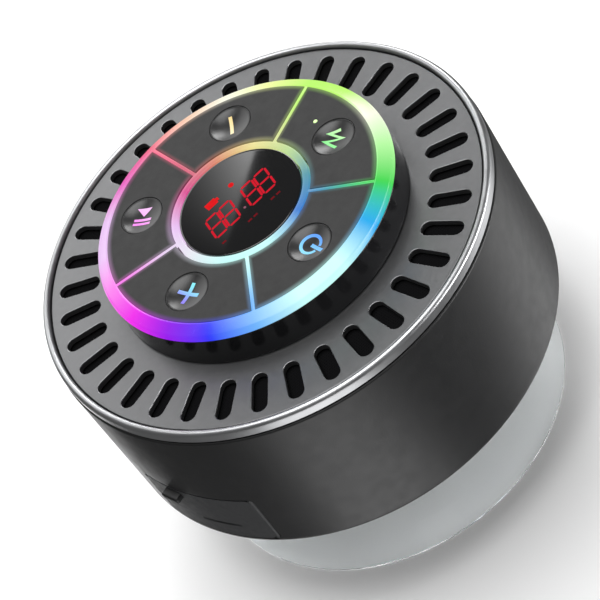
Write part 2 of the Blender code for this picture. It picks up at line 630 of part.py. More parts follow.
def surround():
    """The rubber roll between the cone and the basket."""
    inner = CONE_R + GAP
    outer = 21.1 * MM
    base = FLANGE_TOP_Z + GAP
    lip_w = 0.9 * MM
    lip_t = 0.4 * MM
    wall = 0.45 * MM
    middle = (inner + outer - lip_w) / 2.0
    roll = (outer - lip_w - inner) / 2.0
    upper = [(middle - roll * math.cos(math.radians(a)), base + lip_t + roll * math.sin(math.radians(a)))
             for a in range(0, 181, 45)]
    lower = [(middle - (roll - wall) * math.cos(math.radians(a)), base + (roll - wall) * math.sin(math.radians(a)))
             for a in range(180, -1, -45)]
    profile = upper + [(outer, base + lip_t), (outer, base)] + lower + [(inner, base)]
    return paint(turned("surround", profile, DRIVER_STEPS), "surround rubber", BLACK, 0.6)


def spider():
    """The corrugated cloth disc that centres the coil."""
    rings = 4
    wave = 0.35 * MM
    cloth = 0.4 * MM
    inner = COIL_R + GAP
    outer = 15.2 * MM
    top = [(inner + (outer - inner) * step / rings, SPIDER_Z + wave * (step % 2)) for step in range(rings + 1)]
    bottom = [(radius, height - cloth) for radius, height in reversed(top)]
    return paint(turned("spider", top + bottom, DRIVER_STEPS), "spider cloth", PHENOLIC, 0.9)


def main_board():
    """The amplifier and charging board beside the magnet."""
    size = Vector((20.0, 26.0, MAIN_BOARD_T / MM)) * MM
    board = box("main_board", size, at(PORT_ANGLE, 27.0 * MM, MAIN_BOARD_Z + MAIN_BOARD_T / 2.0))
    paint(board, "main board", BOARD_GREEN, 0.5)
    size = Vector((7.0, 9.0, 1.8)) * MM
    aside = Matrix.Translation((0.0, -7.0 * MM, 0.0))
    radio = box("radio_module", size, at(PORT_ANGLE, 22.0 * MM, MAIN_BOARD_PART_Z + size.z / 2.0) @ aside)
    paint(radio, "radio shield", STEEL, 0.3, 1.0)
    size = Vector((7.4, 9.0, 3.2)) * MM
    middle_z = MAIN_BOARD_PART_Z + size.z / 2.0
    socket = box("charging_socket", size, at(PORT_ANGLE, SOCKET_FRONT_R - size.x / 2.0, middle_z), bevel=0.5 * MM)
    mouth = Vector((6.0, 7.6, 1.9)) * MM
    cut(socket, box("socket_mouth", mouth, at(PORT_ANGLE, SOCKET_FRONT_R - 2.4 * MM, middle_z), CUTTERS))
    paint(socket, "socket shell", STEEL, 0.25, 1.0)


def battery():
    """The lithium cell upright beside the magnet, in a clip-in tray."""
    size = Vector((9.0, 34.0, 15.6)) * MM
    cell = box("battery", size, at(0.0, BATTERY_X, 33.2 * MM), bevel=0.8 * MM)
    paint(cell, "cell wrap", CELL_BLUE, 0.4)
    space = Vector((size.x + 2.0 * GAP, size.y + 2.0 * GAP, 8.0 * MM))
    tray = box("battery_tray", Vector((11.0, 36.4, 7.6)) * MM, at(0.0, BATTERY_X, 28.1 * MM))
    cut(tray, box("tray_space", space, at(0.0, BATTERY_X, 29.1 * MM), CUTTERS))
    paint(tray, "tray plastic", BLACK, 0.5)


def cable(name, route, radius, colour):
    """An internal lead that follows a smooth line through these points."""
    curve = bpy.data.curves.new(name, "CURVE")
    curve.dimensions = "3D"
    curve.bevel_depth = radius
    curve.bevel_resolution = 1
    curve.use_fill_caps = True
    spline = curve.splines.new("POLY")
    padded = [route[0], *route, route[-1]]
    points = []
    pieces = 2
    for p0, p1, p2, p3 in zip(padded, padded[1:], padded[2:], padded[3:]):
        for step in range(pieces):
            t = step / pieces
            points.append(0.5 * (2.0 * p1 + t * (p2 - p0) + t * t * (2.0 * p0 - 5.0 * p1 + 4.0 * p2 - p3)
                                 + t ** 3 * (3.0 * p1 - p0 - 3.0 * p2 + p3)))
    points.append(route[-1])
    spline.points.add(len(points) - 1)
    for place, point in zip(spline.points, points):
        place.co = (*point, 1.0)
    obj = bpy.data.objects.new(name, curve)
    PARTS.objects.link(obj)
    return paint(obj, name, colour, 0.5)


def cables():
    """The three internal leads: display board, driver and cell, all to the main board. Each route is written in
    millimetres, as radius and height, as radius, angle and height, or as x, y and z."""
    control = [(22.7, 57.5), (23.7, 57.2), (24.0, 56.0), (24.1, 54.4), (25.4, 52.6), (27.6, 51.2), (28.4, 49.2),
               (28.8, 46.0), (28.8, 40.0), (28.4, 34.0)]
    route = [polar(radius * MM, PORT_ANGLE, height * MM) for radius, height in control]
    cable("control_cable", [*route, polar(28.2 * MM, PORT_ANGLE, MAIN_BOARD_PART_Z)], 0.75 * MM, LEAD_GREY)
    driver = [(21.6, 226.0, 44.5), (23.6, 226.0, 43.6), (25.4, 223.0, 40.0), (26.0, 219.0, 34.5)]
    route = [polar(radius * MM, angle, height * MM) for radius, angle, height in driver]
    cable("driver_leads", [*route, polar(25.6 * MM, 215.0, MAIN_BOARD_PART_Z)], 0.6 * MM, LEAD_RED)
    cell = [(26.0, -17.4, 37.0), (25.4, -20.4, 36.6), (20.5, -25.0, 34.5), (11.0, -28.6, 32.0), (0.0, -30.0, 30.6),
            (-9.0, -28.2, 30.0), (-15.4, -23.4, 30.4)]
    route = [Vector(point) * MM for point in cell]
    cable("battery_leads", [*route, Vector((-18.6 * MM, -19.4 * MM, MAIN_BOARD_PART_Z))], 0.6 * MM, LEAD_RED)


def port_cover():
    """The silicone flap over the charging socket, hinged at the end nearest the power key."""
    start = PORT_ANGLE - PORT_HALF_SPAN
    end = PORT_ANGLE + PORT_HALF_SPAN
    hinge = polar(COVER_HINGE_R, end)
    flap = sector("port_cover", COVER_IN_R, BODY_R, PORT_BOTTOM_Z, PORT_TOP_Z, start, end, 8, PARTS)
    flap.data.transform(Matrix.Translation(-hinge))
    flap.location = hinge
    join(flap, cylinder("cover_knuckle", (BODY_R - COVER_IN_R) / 2.0, PORT_BOTTOM_Z, PORT_TOP_Z, hinge))
    root = 1.0 * MM
    tab = (TAB_OUT + root, 4.0 * MM, 1.4 * MM)
    join(flap, box("cover_tab", tab, at(TAB_ANGLE, BODY_R + (TAB_OUT - root) / 2.0, TAB_Z), CUTTERS))
    plug = (2.0 * MM, 8.4 * MM, 2.6 * MM)
    join(flap, box("cover_plug", plug, at(PORT_ANGLE, COVER_IN_R, PLUG_Z), CUTTERS))
    return paint(flap, "flap silicone", CHARCOAL, 0.6)


def threaded_insert():
    """The brass insert moulded into the back of the housing."""
    inner = STUD_R + 0.2 * MM
    bottom = BACK_Z + GAP
    profile = [(inner, INSERT_TOP_Z), (INSERT_R, INSERT_TOP_Z), (INSERT_R, bottom), (inner, bottom)]
    return paint(turned("threaded_insert", profile, SMALL_STEPS), "insert brass", BRASS, 0.3, 1.0)


def cup_stud():
    """The flanged steel stud moulded into the cup's hub, which screws into the insert."""
    flange_top = BACK_Z - GAP
    flange_bottom = CUP_HUB_TOP_Z + GAP
    lead_in = 0.5 * MM
    profile = [(0.0, STUD_TOP_Z), (STUD_R - 0.8 * lead_in, STUD_TOP_Z), (STUD_R, STUD_TOP_Z - lead_in),
               (STUD_R, flange_top), (STUD_FLANGE_R, flange_top), (STUD_FLANGE_R, flange_bottom),
               (STUD_R, flange_bottom), (STUD_R, STUD_BOTTOM_Z), (0.0, STUD_BOTTOM_Z)]
    return paint(turned("cup_stud", profile, SMALL_STEPS), "stud steel", STEEL, 0.25, 1.0)


def suction_cup():
    """The clear cup: a thin flared skirt under a solid hub with a blind hole for the stud."""
    hole_r = STUD_R + GAP
    hole_bottom = STUD_BOTTOM_Z - GAP
    outside = [(9.0, 15.4), (12.5, 12.2), (20.0, 10.0), (27.5, 6.8), (33.0, 3.0), (35.4, 0.9)]
    inside = [(28.0, 3.4), (20.0, 5.8), (10.0, 7.0)]
    profile = [(0.0, hole_bottom), (hole_r, hole_bottom), (hole_r, CUP_HUB_TOP_Z), (CUP_HUB_R, CUP_HUB_TOP_Z)]
    profile += [(radius * MM, height * MM) for radius, height in outside]
    profile += [(CUP_R, 0.35 * MM), (CUP_R, 0.0), (CUP_RIM_IN_R, 0.0)]
    profile += [(radius * MM, height * MM) for radius, height in inside]
    profile += [(0.0, CUP_DOME_Z)]
    return paint(turned("suction_cup", profile, BODY_STEPS), "clear cup", CLEAR, 0.1, 0.0, 0.35)


rear_housing()
rim_bezel()
front_grille()
grille_cloth()
front_chassis()
housing_seal()
pod_shell()
light_guide()
control_panel()
for key_name, key_angle in KEY_NAMES.items():
    key(key_name, key_angle)
    key_switch(key_name, key_angle)
status_light_pipe()
display_window()
display_module()
control_board()
led_ring()
for count, screw_angle in enumerate(POD_SCREW_ANGLES, 1):
    screw(f"pod_screw_{count}", POD_SCREW_CIRCLE_R, screw_angle, POD_BOTTOM_Z + POD_FLOOR_T + GAP, POD_SCREW_TIP_Z)
for count, screw_angle in enumerate(DRIVER_SCREW_ANGLES, 1):
    screw(f"driver_screw_{count}", DRIVER_SCREW_CIRCLE_R, screw_angle, FLANGE_TOP_Z - FLANGE_T - GAP,
          DRIVER_SCREW_TIP_Z)
for count, screw_angle in enumerate(CHASSIS_SCREW_ANGLES, 1):
    screw(f"chassis_screw_{count}", CHASSIS_SCREW_CIRCLE_R, screw_angle, CHASSIS_BOTTOM_Z + CHASSIS_T + GAP,
          CHASSIS_SCREW_TIP_Z, 2.0 * MM, 1.2 * MM, CHASSIS_SCREW_SHANK_R)
driver_basket()
driver_motor()
voice_coil()
cone()
dust_cap()
surround()
spider()
main_board()
battery()
cables()
port_cover()
threaded_insert()
cup_stud()
suction_cup()
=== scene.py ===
"""Shower speaker: a drum-shaped waterproof loudspeaker with a lit control pod and a clear suction cup, dressed
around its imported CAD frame. Lengths are in metres; the origin is the centre of the cup's rim and +Z leaves the
front face."""

import json
import math

import bmesh
import bpy
from mathutils import Matrix, Vector


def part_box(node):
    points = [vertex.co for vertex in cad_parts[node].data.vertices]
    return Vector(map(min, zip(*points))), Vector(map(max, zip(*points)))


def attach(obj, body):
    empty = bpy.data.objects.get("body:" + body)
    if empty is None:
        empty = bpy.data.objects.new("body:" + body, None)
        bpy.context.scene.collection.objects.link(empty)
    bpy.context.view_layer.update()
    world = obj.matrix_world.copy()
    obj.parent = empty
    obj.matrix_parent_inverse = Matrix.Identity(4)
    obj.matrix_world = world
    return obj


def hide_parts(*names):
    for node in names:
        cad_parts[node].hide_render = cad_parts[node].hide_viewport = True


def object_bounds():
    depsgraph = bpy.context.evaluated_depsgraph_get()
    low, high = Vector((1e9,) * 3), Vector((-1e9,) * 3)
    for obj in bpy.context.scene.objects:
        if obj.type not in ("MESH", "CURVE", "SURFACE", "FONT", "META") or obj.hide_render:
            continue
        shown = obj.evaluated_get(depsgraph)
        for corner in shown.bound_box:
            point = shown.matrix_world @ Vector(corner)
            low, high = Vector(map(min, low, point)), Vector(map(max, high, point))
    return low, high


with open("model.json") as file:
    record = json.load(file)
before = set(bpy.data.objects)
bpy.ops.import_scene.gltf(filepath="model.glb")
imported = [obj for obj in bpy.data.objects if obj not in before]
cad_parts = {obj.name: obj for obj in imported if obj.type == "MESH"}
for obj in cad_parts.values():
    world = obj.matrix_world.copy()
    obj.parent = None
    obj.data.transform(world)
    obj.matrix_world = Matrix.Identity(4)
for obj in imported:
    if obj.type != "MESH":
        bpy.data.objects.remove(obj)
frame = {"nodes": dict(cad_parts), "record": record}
cad_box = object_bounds()

# --- Drum shell ---
# The rear housing: one injection-moulded cup of charcoal plastic with a fine spark-eroded texture. The port
# pocket is sunk into its side, and the suction cup's insert is moulded into the middle of its back.


def add_node(material, kind, attributes=None, **sockets):
    """A node with its settings, and its inputs set to a value or linked to another node's output."""
    made = material.node_tree.nodes.new(kind)
    for name, value in (attributes or {}).items():
        setattr(made, name, value)
    for name, value in sockets.items():
        feed(material, made.inputs[name.replace("_", " ")], value)
    return made


def feed(material, socket, value):
    """Links an output to an input, or sets the input to a plain value."""
    if isinstance(value, bpy.types.NodeSocket):
        material.node_tree.links.new(value, socket)
    else:
        socket.default_value = value


def object_coordinates(material):
    return add_node(material, "ShaderNodeTexCoord").outputs["Object"]


def blended(material, factor, low, high):
    """A colour between two others; each is an output or a plain colour."""
    blend = add_node(material, "ShaderNodeMix", {"data_type": "RGBA"})
    feed(material, blend.inputs["Factor"], factor)
    for name, colour in (("A", low), ("B", high)):
        plain = not isinstance(colour, bpy.types.NodeSocket)
        feed(material, blend.inputs[name], (*colour, 1.0) if plain else colour)
    return blend.outputs["Result"]


def darkened(colour, share):
    return [value * share for value in colour]


def plain_finish(name, colour, roughness, metallic=0.0, **sockets):
    """A Principled material and its shader."""
    material = bpy.data.materials.new(name)
    material.use_nodes = True
    shader = material.node_tree.nodes["Principled BSDF"]
    shader.inputs["Base Color"].default_value = (*colour, 1.0)
    shader.inputs["Roughness"].default_value = roughness
    shader.inputs["Metallic"].default_value = metallic
    for socket, value in sockets.items():
        shader.inputs[socket.replace("_", " ")].default_value = value
    return material, shader


def cloudy_finish(name, colour, darker, scale, roughness, metallic=0.0, **sockets):
    """A plain finish whose colour drifts to a darker one, in soft clouds of this scale."""
    material, shader = plain_finish(name, colour, roughness, metallic, **sockets)
    noise = add_node(material, "ShaderNodeTexNoise", Vector=object_coordinates(material), Scale=scale,
                     Detail=4.0)
    drift = blended(material, noise.outputs["Fac"], darkened(colour, darker), colour)
    feed(material, shader.inputs["Base Color"], drift)
    return material, shader


def uneven_gloss(material, shader, low, high, scale):
    """Lets the roughness drift between two values."""
    noise = add_node(material, "ShaderNodeTexNoise", Vector=object_coordinates(material), Scale=scale,
                     Detail=3.0)
    ramp = add_node(material, "ShaderNodeMapRange", Value=noise.outputs["Fac"], From_Min=0.3, From_Max=0.7,
                    To_Min=low, To_Max=high)
    feed(material, shader.inputs["Roughness"], ramp.outputs["Result"])


def bumped(material, shader, height, depth, strength):
    """Raises the surface by an output, as bump."""
    bump = add_node(material, "ShaderNodeBump", Height=height, Strength=strength, Distance=depth)
    feed(material, shader.inputs["Normal"], bump.outputs["Normal"])


def grain(material, shader, scale, depth, strength=0.5):
    """A fine moulded or cast texture as bump, with its grains this many to the metre."""
    noise = add_node(material, "ShaderNodeTexNoise", Vector=object_coordinates(material), Scale=scale,
                     Detail=2.0)
    bumped(material, shader, noise.outputs["Fac"], depth, strength)


def rounded(corners, closed, steps=6):
    """An outline from (radius, height, fillet) corners, with each fillet drawn as an arc."""
    outline = []
    count = len(corners)
    for index, (x, z, fillet) in enumerate(corners):
        here = Vector((x, z))
        if fillet == 0.0 or (not closed and index in (0, count - 1)):
            outline.append(here)
            continue
        before = (Vector(corners[index - 1][:2]) - here).normalized()
        after = (Vector(corners[(index + 1) % count][:2]) - here).normalized()
        half = before.angle(after) / 2.0
        centre = here + (before + after).normalized() * fillet / math.sin(half)
        start = here + before * fillet / math.tan(half) - centre
        sweep = start.angle_signed(here + after * fillet / math.tan(half) - centre)
        for step in range(steps + 1):
            turn = Matrix.Rotation(-sweep * step / steps, 2)
            outline.append(centre + turn @ start)
    return outline


def face_outwards(bm):
    """Turns every face of a closed mesh outwards."""
    bmesh.ops.recalc_face_normals(bm, faces=bm.faces)
    if bm.calc_volume(signed=True) < 0.0:
        bmesh.ops.reverse_faces(bm, faces=bm.faces)
    return bm


def turned(outline, closed, steps=192):
    """A turned body from its half section; an open section starts and ends on the axis."""
    bm = bmesh.new()
    corners = [bm.verts.new((point[0], 0.0, point[1])) for point in outline]
    edges = [bm.edges.new(pair) for pair in zip(corners, corners[1:])]
    if closed:
        edges.append(bm.edges.new((corners[-1], corners[0])))
    bmesh.ops.spin(bm, geom=corners + edges, cent=(0.0, 0.0, 0.0), axis=(0.0, 0.0, 1.0), angle=2.0 * math.pi,
                   steps=steps, use_merge=True)
    bmesh.ops.remove_doubles(bm, verts=bm.verts, dist=1e-7)
    return face_outwards(bm)


def piece(name, bm, material, body, slot, *stands_for, crease=32.0):
    """Puts a finished mesh on its body with its material, and hides the CAD nodes that it stands for. The slot
    is not used.
    """
    mesh = bpy.data.meshes.new(name)
    bm.to_mesh(mesh)
    bm.free()
    mesh.shade_smooth()
    mesh.set_sharp_from_angle(angle=math.radians(crease))
    mesh.materials.append(material)
    made = bpy.data.objects.new(name, mesh)
    bpy.context.scene.collection.objects.link(made)
    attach(made, body)
    if stands_for:
        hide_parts(*stands_for)
    return made


def applied(made):
    """Applies a piece's modifiers to its mesh."""
    graph = bpy.context.evaluated_depsgraph_get()
    mesh = bpy.data.meshes.new_from_object(made.evaluated_get(graph))
    made.modifiers.clear()
    made.data = mesh
    mesh.shade_smooth()
    mesh.set_sharp_from_angle(angle=math.radians(32.0))
    return made


def combine(made, other, operation):
    """Cuts a closed bmesh from a piece, or joins it on."""
    mesh = bpy.data.meshes.new("helper")
    other.to_mesh(mesh)
    other.free()
    helper = bpy.data.objects.new("helper", mesh)
    bpy.context.scene.collection.objects.link(helper)
    modifier = made.modifiers.new("combine", "BOOLEAN")
    modifier.operation = operation
    modifier.object = helper
    applied(made)
    bpy.data.objects.remove(helper)


def block(place, size, edge):
    """A box with rounded edges, centred at this place."""
    bm = bmesh.new()
    bmesh.ops.create_cube(bm, size=1.0, matrix=Matrix.Diagonal((*size, 1.0)))
    bmesh.ops.bevel(bm, geom=bm.edges[:], offset=edge, offset_type="OFFSET", segments=3, profile=0.5,
                    affect="EDGES", material=-1)
    bmesh.ops.transform(bm, matrix=place, verts=bm.verts)
    return bm


def at_angle(degrees, radius=0.0, height=0.0):
    """A place at this angle about the speaker's axis, with its X axis pointing outwards."""
    return Matrix.Rotation(math.radians(degrees), 4, "Z") @ Matrix.Translation((radius, 0.0, height))


drum_low, drum_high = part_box("rear_housing")
drum_r = drum_high.y
drum_back = drum_low.z
drum_front = drum_high.z
wall_r = 0.0406
floor_z = 0.0240
boss_r = 0.0064
insert_hole_r = 0.0049

charcoal = (0.009, 0.0092, 0.0098)
shell_finish, shader = cloudy_finish("charcoal_shell", charcoal, 0.8, 60.0, 0.42)
uneven_gloss(shell_finish, shader, 0.39, 0.46, 400.0)
grain(shell_finish, shader, 5200.0, 0.00003)

section = rounded([
    (0.0, 0.0283, 0.0), (boss_r, 0.0283, 0.0005), (boss_r, floor_z, 0.0008), (wall_r, floor_z, 0.0015),
    (wall_r, 0.0466, 0.0), (0.0417, 0.0466, 0.0), (0.0417, drum_front, 0.0), (drum_r, drum_front, 0.0004),
    (drum_r, drum_back, 0.0016), (insert_hole_r + 0.0030, drum_back, 0.0002),
    (insert_hole_r + 0.0026, drum_back + 0.0003, 0.0), (insert_hole_r, drum_back + 0.0003, 0.0),
    (insert_hole_r, 0.0276, 0.0), (0.0, 0.0276, 0.0)], False)
drum = piece("drum_shell", turned(section, False), shell_finish, "housing", "shell", "rear_housing")

port_low, port_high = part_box("port_cover")
port_angle = 196.5
port_z = 0.0303
flap_start = 180.5
flap_end = 212.5
port_gap = 0.0003


def port_block(inner, outer, bottom, top, start, end, corner):
    """A curved block between two angles about the speaker's axis, with rounded corners."""
    middle = math.radians((start + end) / 2.0)
    width = math.radians(end - start) * outer
    bm = bmesh.new()
    columns = 24
    arc = 6
    bmesh.ops.create_grid(bm, x_segments=1, y_segments=1, size=0.5)
    bmesh.ops.scale(bm, vec=(width, top - bottom, 1.0), verts=bm.verts)
    bmesh.ops.bevel(bm, geom=bm.verts[:], offset=corner, offset_type="OFFSET", segments=arc, profile=0.5,
                    affect="VERTICES", material=-1)
    for column in range(1, columns):
        across = (column / columns - 0.5) * width
        bmesh.ops.bisect_plane(bm, geom=bm.verts[:] + bm.edges[:] + bm.faces[:], plane_co=(across, 0.0, 0.0),
                               plane_no=(1.0, 0.0, 0.0))
    bmesh.ops.translate(bm, verts=bm.verts, vec=(0.0, (top + bottom) / 2.0, outer))
    grown = bmesh.ops.extrude_face_region(bm, geom=bm.faces[:])["geom"]
    inner_verts = [item for item in grown if isinstance(item, bmesh.types.BMVert)]
    bmesh.ops.translate(bm, verts=inner_verts, vec=(0.0, 0.0, inner - outer))
    for vert in bm.verts:
        across, height, radius = vert.co
        turn = middle + across / outer
        vert.co = (radius * math.cos(turn), radius * math.sin(turn), height)
    return face_outwards(bm)


pocket = port_block(0.0421, 0.0450, port_low.z - port_gap, port_high.z + port_gap,
                    flap_start - 0.4, flap_end + 1.2, 0.0014)
combine(drum, pocket, "DIFFERENCE")
combine(drum, block(at_angle(port_angle, 0.0420, port_z), (0.006, 0.010, 0.0044), 0.0008), "DIFFERENCE")

# --- Rim bezel ---
# The bead round the front edge: a turned aluminium ring, polished on its crown, pressed over the shell's
# mouth.

rim_low, rim_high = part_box("rim_bezel")
rim_out = rim_high.y
rim_in = 0.0419


def turning_marks(material, shader, scale, depth):
    """Fine circular tool marks about the speaker's axis, as bump."""
    wave = add_node(material, "ShaderNodeTexWave", {"wave_type": "RINGS", "rings_direction": "Z"},
                    Vector=object_coordinates(material), Scale=scale, Distortion=1.5, Detail=2.0)
    bumped(material, shader, wave.outputs["Fac"], depth, 0.35)


rim_finish, shader = plain_finish("polished_rim", (0.44, 0.445, 0.455), 0.36, 1.0)
uneven_gloss(rim_finish, shader, 0.32, 0.4, 300.0)
turning_marks(rim_finish, shader, 1400.0, 0.000004)
section = rounded([
    (rim_in, rim_low.z, 0.0), (rim_in, rim_high.z, 0.0007), (rim_out, rim_high.z, 0.0008),
    (rim_out, rim_low.z, 0.0002)], True, 10)
piece("rim_ring", turned(section, True, 256), rim_finish, "housing", "rim", "rim_bezel")

# --- Front grille ---
# The ring that lets the sound out: punched sheet, sprayed with satin metallic grey, with thirty-six long
# slots and a thin bright chamfer round each. Four screws clamp it under the pod.

grille_low, grille_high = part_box("front_grille")
grille_out = grille_high.y
grille_in = 0.0180
slot_count = 36
slot_in = 0.0319
slot_out = 0.0400
slot_half = 0.0015
slot_phase = 7.75


def add_loop(curve, points):
    """A closed straight-edged loop on a flat curve."""
    spline = curve.splines.new("POLY")
    spline.points.add(len(points) - 1)
    for place, point in zip(spline.points, points):
        place.co = (point[0], point[1], 0.0, 1.0)
    spline.use_cyclic_u = True


def circle(radius, steps, centre=(0.0, 0.0)):
    turns = [2.0 * math.pi * step / steps for step in range(steps)]
    return [(centre[0] + radius * math.cos(turn), centre[1] + radius * math.sin(turn)) for turn in turns]


def plate(loops, bottom, top, chamfer, segments=1):
    """A flat plate between two heights from its outline and holes, with its edges broken by a small radius."""
    curve = bpy.data.curves.new("plate", "CURVE")
    curve.dimensions = "2D"
    curve.fill_mode = "BOTH"
    curve.extrude = (top - bottom) / 2.0 - chamfer
    curve.bevel_depth = chamfer
    curve.offset = -chamfer
    curve.bevel_resolution = segments
    for loop in loops:
        add_loop(curve, loop)
    holder = bpy.data.objects.new("plate", curve)
    bpy.context.scene.collection.objects.link(holder)
    graph = bpy.context.evaluated_depsgraph_get()
    mesh = bpy.data.meshes.new_from_object(holder.evaluated_get(graph))
    bm = bmesh.new()
    bm.from_mesh(mesh)
    bpy.data.objects.remove(holder)
    bmesh.ops.remove_doubles(bm, verts=bm.verts, dist=1e-7)
    bmesh.ops.translate(bm, verts=bm.verts, vec=(0.0, 0.0, (top + bottom) / 2.0))
    return face_outwards(bm)


def slot_loop(angle):
    """The outline of one slot: two half circles joined by straight sides, along a radius."""
    arc = [math.radians(-90.0 + 10.0 * step) for step in range(19)]
    outline = [(slot_out - slot_half + slot_half * math.cos(a), slot_half * math.sin(a)) for a in arc]
    outline += [(slot_in + slot_half - slot_half * math.cos(a), -slot_half * math.sin(a)) for a in arc]
    turn = Matrix.Rotation(math.radians(angle), 2)
    return [turn @ Vector(point) for point in outline]


grille_grey = (0.2, 0.202, 0.206)
grille_finish, shader = cloudy_finish("satin_metallic", grille_grey, 0.86, 900.0, 0.34, 0.75)
uneven_gloss(grille_finish, shader, 0.30, 0.38, 2500.0)
grain(grille_finish, shader, 9000.0, 0.000012, 0.4)
loops = [circle(grille_out, 288), circle(grille_in, 96)]
loops += [slot_loop(slot_phase + 360.0 * number / slot_count) for number in range(slot_count)]
piece("grille_ring", plate(loops, grille_low.z, grille_high.z, 0.0001), grille_finish, "housing", "grille",
      "front_grille", crease=20.0)

# --- Grille cloth ---
# A ring of black open-weave polyester, glued behind the slots to keep spray out.

cloth_low, cloth_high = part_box("grille_cloth")
cloth_black = (0.004, 0.004, 0.0045)
cloth_finish, shader = plain_finish("black_cloth", cloth_black, 0.95, Specular_IOR_Level=0.1)


def maths(material, operation, *values):
    """A sum on outputs and plain numbers."""
    node = add_node(material, "ShaderNodeMath", {"operation": operation})
    for socket, value in zip(node.inputs, values):
        feed(material, socket, value)
    return node.outputs["Value"]


threads = [add_node(cloth_finish, "ShaderNodeTexWave", {"bands_direction": direction},
                    Vector=object_coordinates(cloth_finish), Scale=700.0).outputs["Fac"] for direction in "XY"]
bumped(cloth_finish, shader, maths(cloth_finish, "MULTIPLY", *threads), 0.00015, 0.8)
section = rounded([(0.0286, cloth_low.z, 0.0), (0.0286, cloth_high.z, 0.0), (0.0412, cloth_high.z, 0.0),
                   (0.0412, cloth_low.z, 0.0)], True)
piece("cloth_ring", turned(section, True, 96), cloth_finish, "housing", "grille_fabric", "grille_cloth")

# --- Pod shell ---
# The cup that stands on the face: moulded in black and polished, so its skirt mirrors the slots around it.
# A thin bright hairline is left where its foot meets the grille.

pod_low, pod_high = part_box("pod_shell")
pod_foot_r = 0.0282
pod_top_r = pod_high.y
pod_black = (0.012, 0.012, 0.013)
pod_finish, shader = cloudy_finish("polished_black", pod_black, 0.7, 120.0, 0.3, Coat_Weight=0.3,
                                   Coat_Roughness=0.2)
uneven_gloss(pod_finish, shader, 0.10, 0.18, 220.0)
section = rounded([
    (0.0, 0.0566, 0.0), (0.0266, 0.0566, 0.0008), (0.0266, 0.0597, 0.0), (0.0256, 0.0606, 0.0),
    (0.0256, pod_high.z, 0.0), (pod_top_r, pod_high.z, 0.00015), (pod_foot_r, pod_low.z + 0.0008, 0.0),
    (pod_foot_r + 0.00025, pod_low.z, 0.00012), (0.0, pod_low.z, 0.0)], False)
piece("pod_cup", turned(section, False), pod_finish, "housing", "pod", "pod_shell")

# --- Light guide ---
# The clear acrylic moulding that spreads the lamps' light: a bevelled outer band, an inner ring and five
# spokes. It is snapped into the pod's rim. Its colours run round the speaker in even steps, twenty along
# the band and ten along the ring.

guide_low, guide_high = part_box("light_guide")
band_out = guide_high.y
pod_top = guide_high.z
band_top_r = 0.0261
band_edge = 0.0622
panel_out = 0.0258
ring_out = 0.0132
ring_in = 0.0120
sector = 72.0
spoke_angles = [18.0 + sector * number for number in range(5)]
spoke_width = 0.0006
spoke_depth = 0.0006
lime = (185, 250, 100)
yellow = (240, 250, 160)
ivory = (250, 250, 230)
peach = (245, 200, 170)
rose = (235, 90, 125)
cerise = (225, 80, 185)
lilac = (230, 190, 240)
pink = (245, 110, 230)
fuchsia = (240, 30, 235)
violet = (150, 0, 235)
blue = (40, 50, 250)
sky = (110, 180, 250)
ice = (200, 255, 250)
azure = (0, 170, 240)
green = (50, 215, 70)
mint = (180, 250, 160)
band_lamps = [lime, lime, yellow, ivory, peach, rose, cerise, lilac, lilac, pink,
              fuchsia, violet, blue, sky, ice, ice, azure, green, mint, ivory]
sage = (190, 220, 150)
straw = (235, 225, 150)
clay = (215, 130, 105)
raspberry = (215, 75, 145)
pearl = (230, 230, 240)
royal = (60, 125, 210)
teal = (85, 155, 170)
ring_lamps = [sage, straw, clay, raspberry, lilac, pearl, ice, ice, royal, teal]


def linear(colour):
    """Scene-linear values from a screen colour, 0 to 255."""
    levels = [value / 255.0 for value in colour]
    return [level / 12.92 if level <= 0.04045 else ((level + 0.055) / 1.055) ** 2.4 for level in levels]


def turn_share(material, coordinates):
    """The angle about the speaker's axis as a share of a full turn."""
    axes = add_node(material, "ShaderNodeSeparateXYZ", Vector=coordinates)
    turn = maths(material, "ARCTAN2", axes.outputs["Y"], axes.outputs["X"])
    return maths(material, "FRACT", maths(material, "DIVIDE", turn, 2.0 * math.pi))


def colour_wheel(material, share, lamps):
    """Colours that blend round the speaker, in even steps from 0 degrees."""
    ramp = add_node(material, "ShaderNodeValToRGB", Fac=share)
    stops = ramp.color_ramp.elements
    stops[0].color = stops[1].color = (*linear(lamps[0]), 1.0)
    for number, colour in enumerate(lamps[1:], 1):
        stops.new(number / len(lamps)).color = (*linear(colour), 1.0)
    return ramp.outputs["Color"]


def axis_distance(material, coordinates):
    """The distance from the speaker's axis, in metres."""
    flat = add_node(material, "ShaderNodeVectorMath", {"operation": "MULTIPLY"})
    feed(material, flat.inputs[0], coordinates)
    flat.inputs[1].default_value = (1.0, 1.0, 0.0)
    length = add_node(material, "ShaderNodeVectorMath", {"operation": "LENGTH"}, Vector=flat.outputs["Vector"])
    return length.outputs["Value"]


def mapped(material, value, low, high, to_low=0.0, to_high=1.0):
    """The value's place between two limits, held at their ends and eased between them."""
    ramp = add_node(material, "ShaderNodeMapRange", {"interpolation_type": "SMOOTHSTEP"}, Value=value,
                    From_Min=low, From_Max=high, To_Min=to_low, To_Max=to_high)
    return ramp.outputs["Result"]


def lamp_colours(material):
    """The lamps' colours: the inner ring's near the window, the band's outside, and a blend along the spokes."""
    coordinates = object_coordinates(material)
    share = turn_share(material, coordinates)
    outwards = mapped(material, axis_distance(material, coordinates), ring_out, panel_out)
    return blended(material, outwards, colour_wheel(material, share, ring_lamps),
                   colour_wheel(material, share, band_lamps))


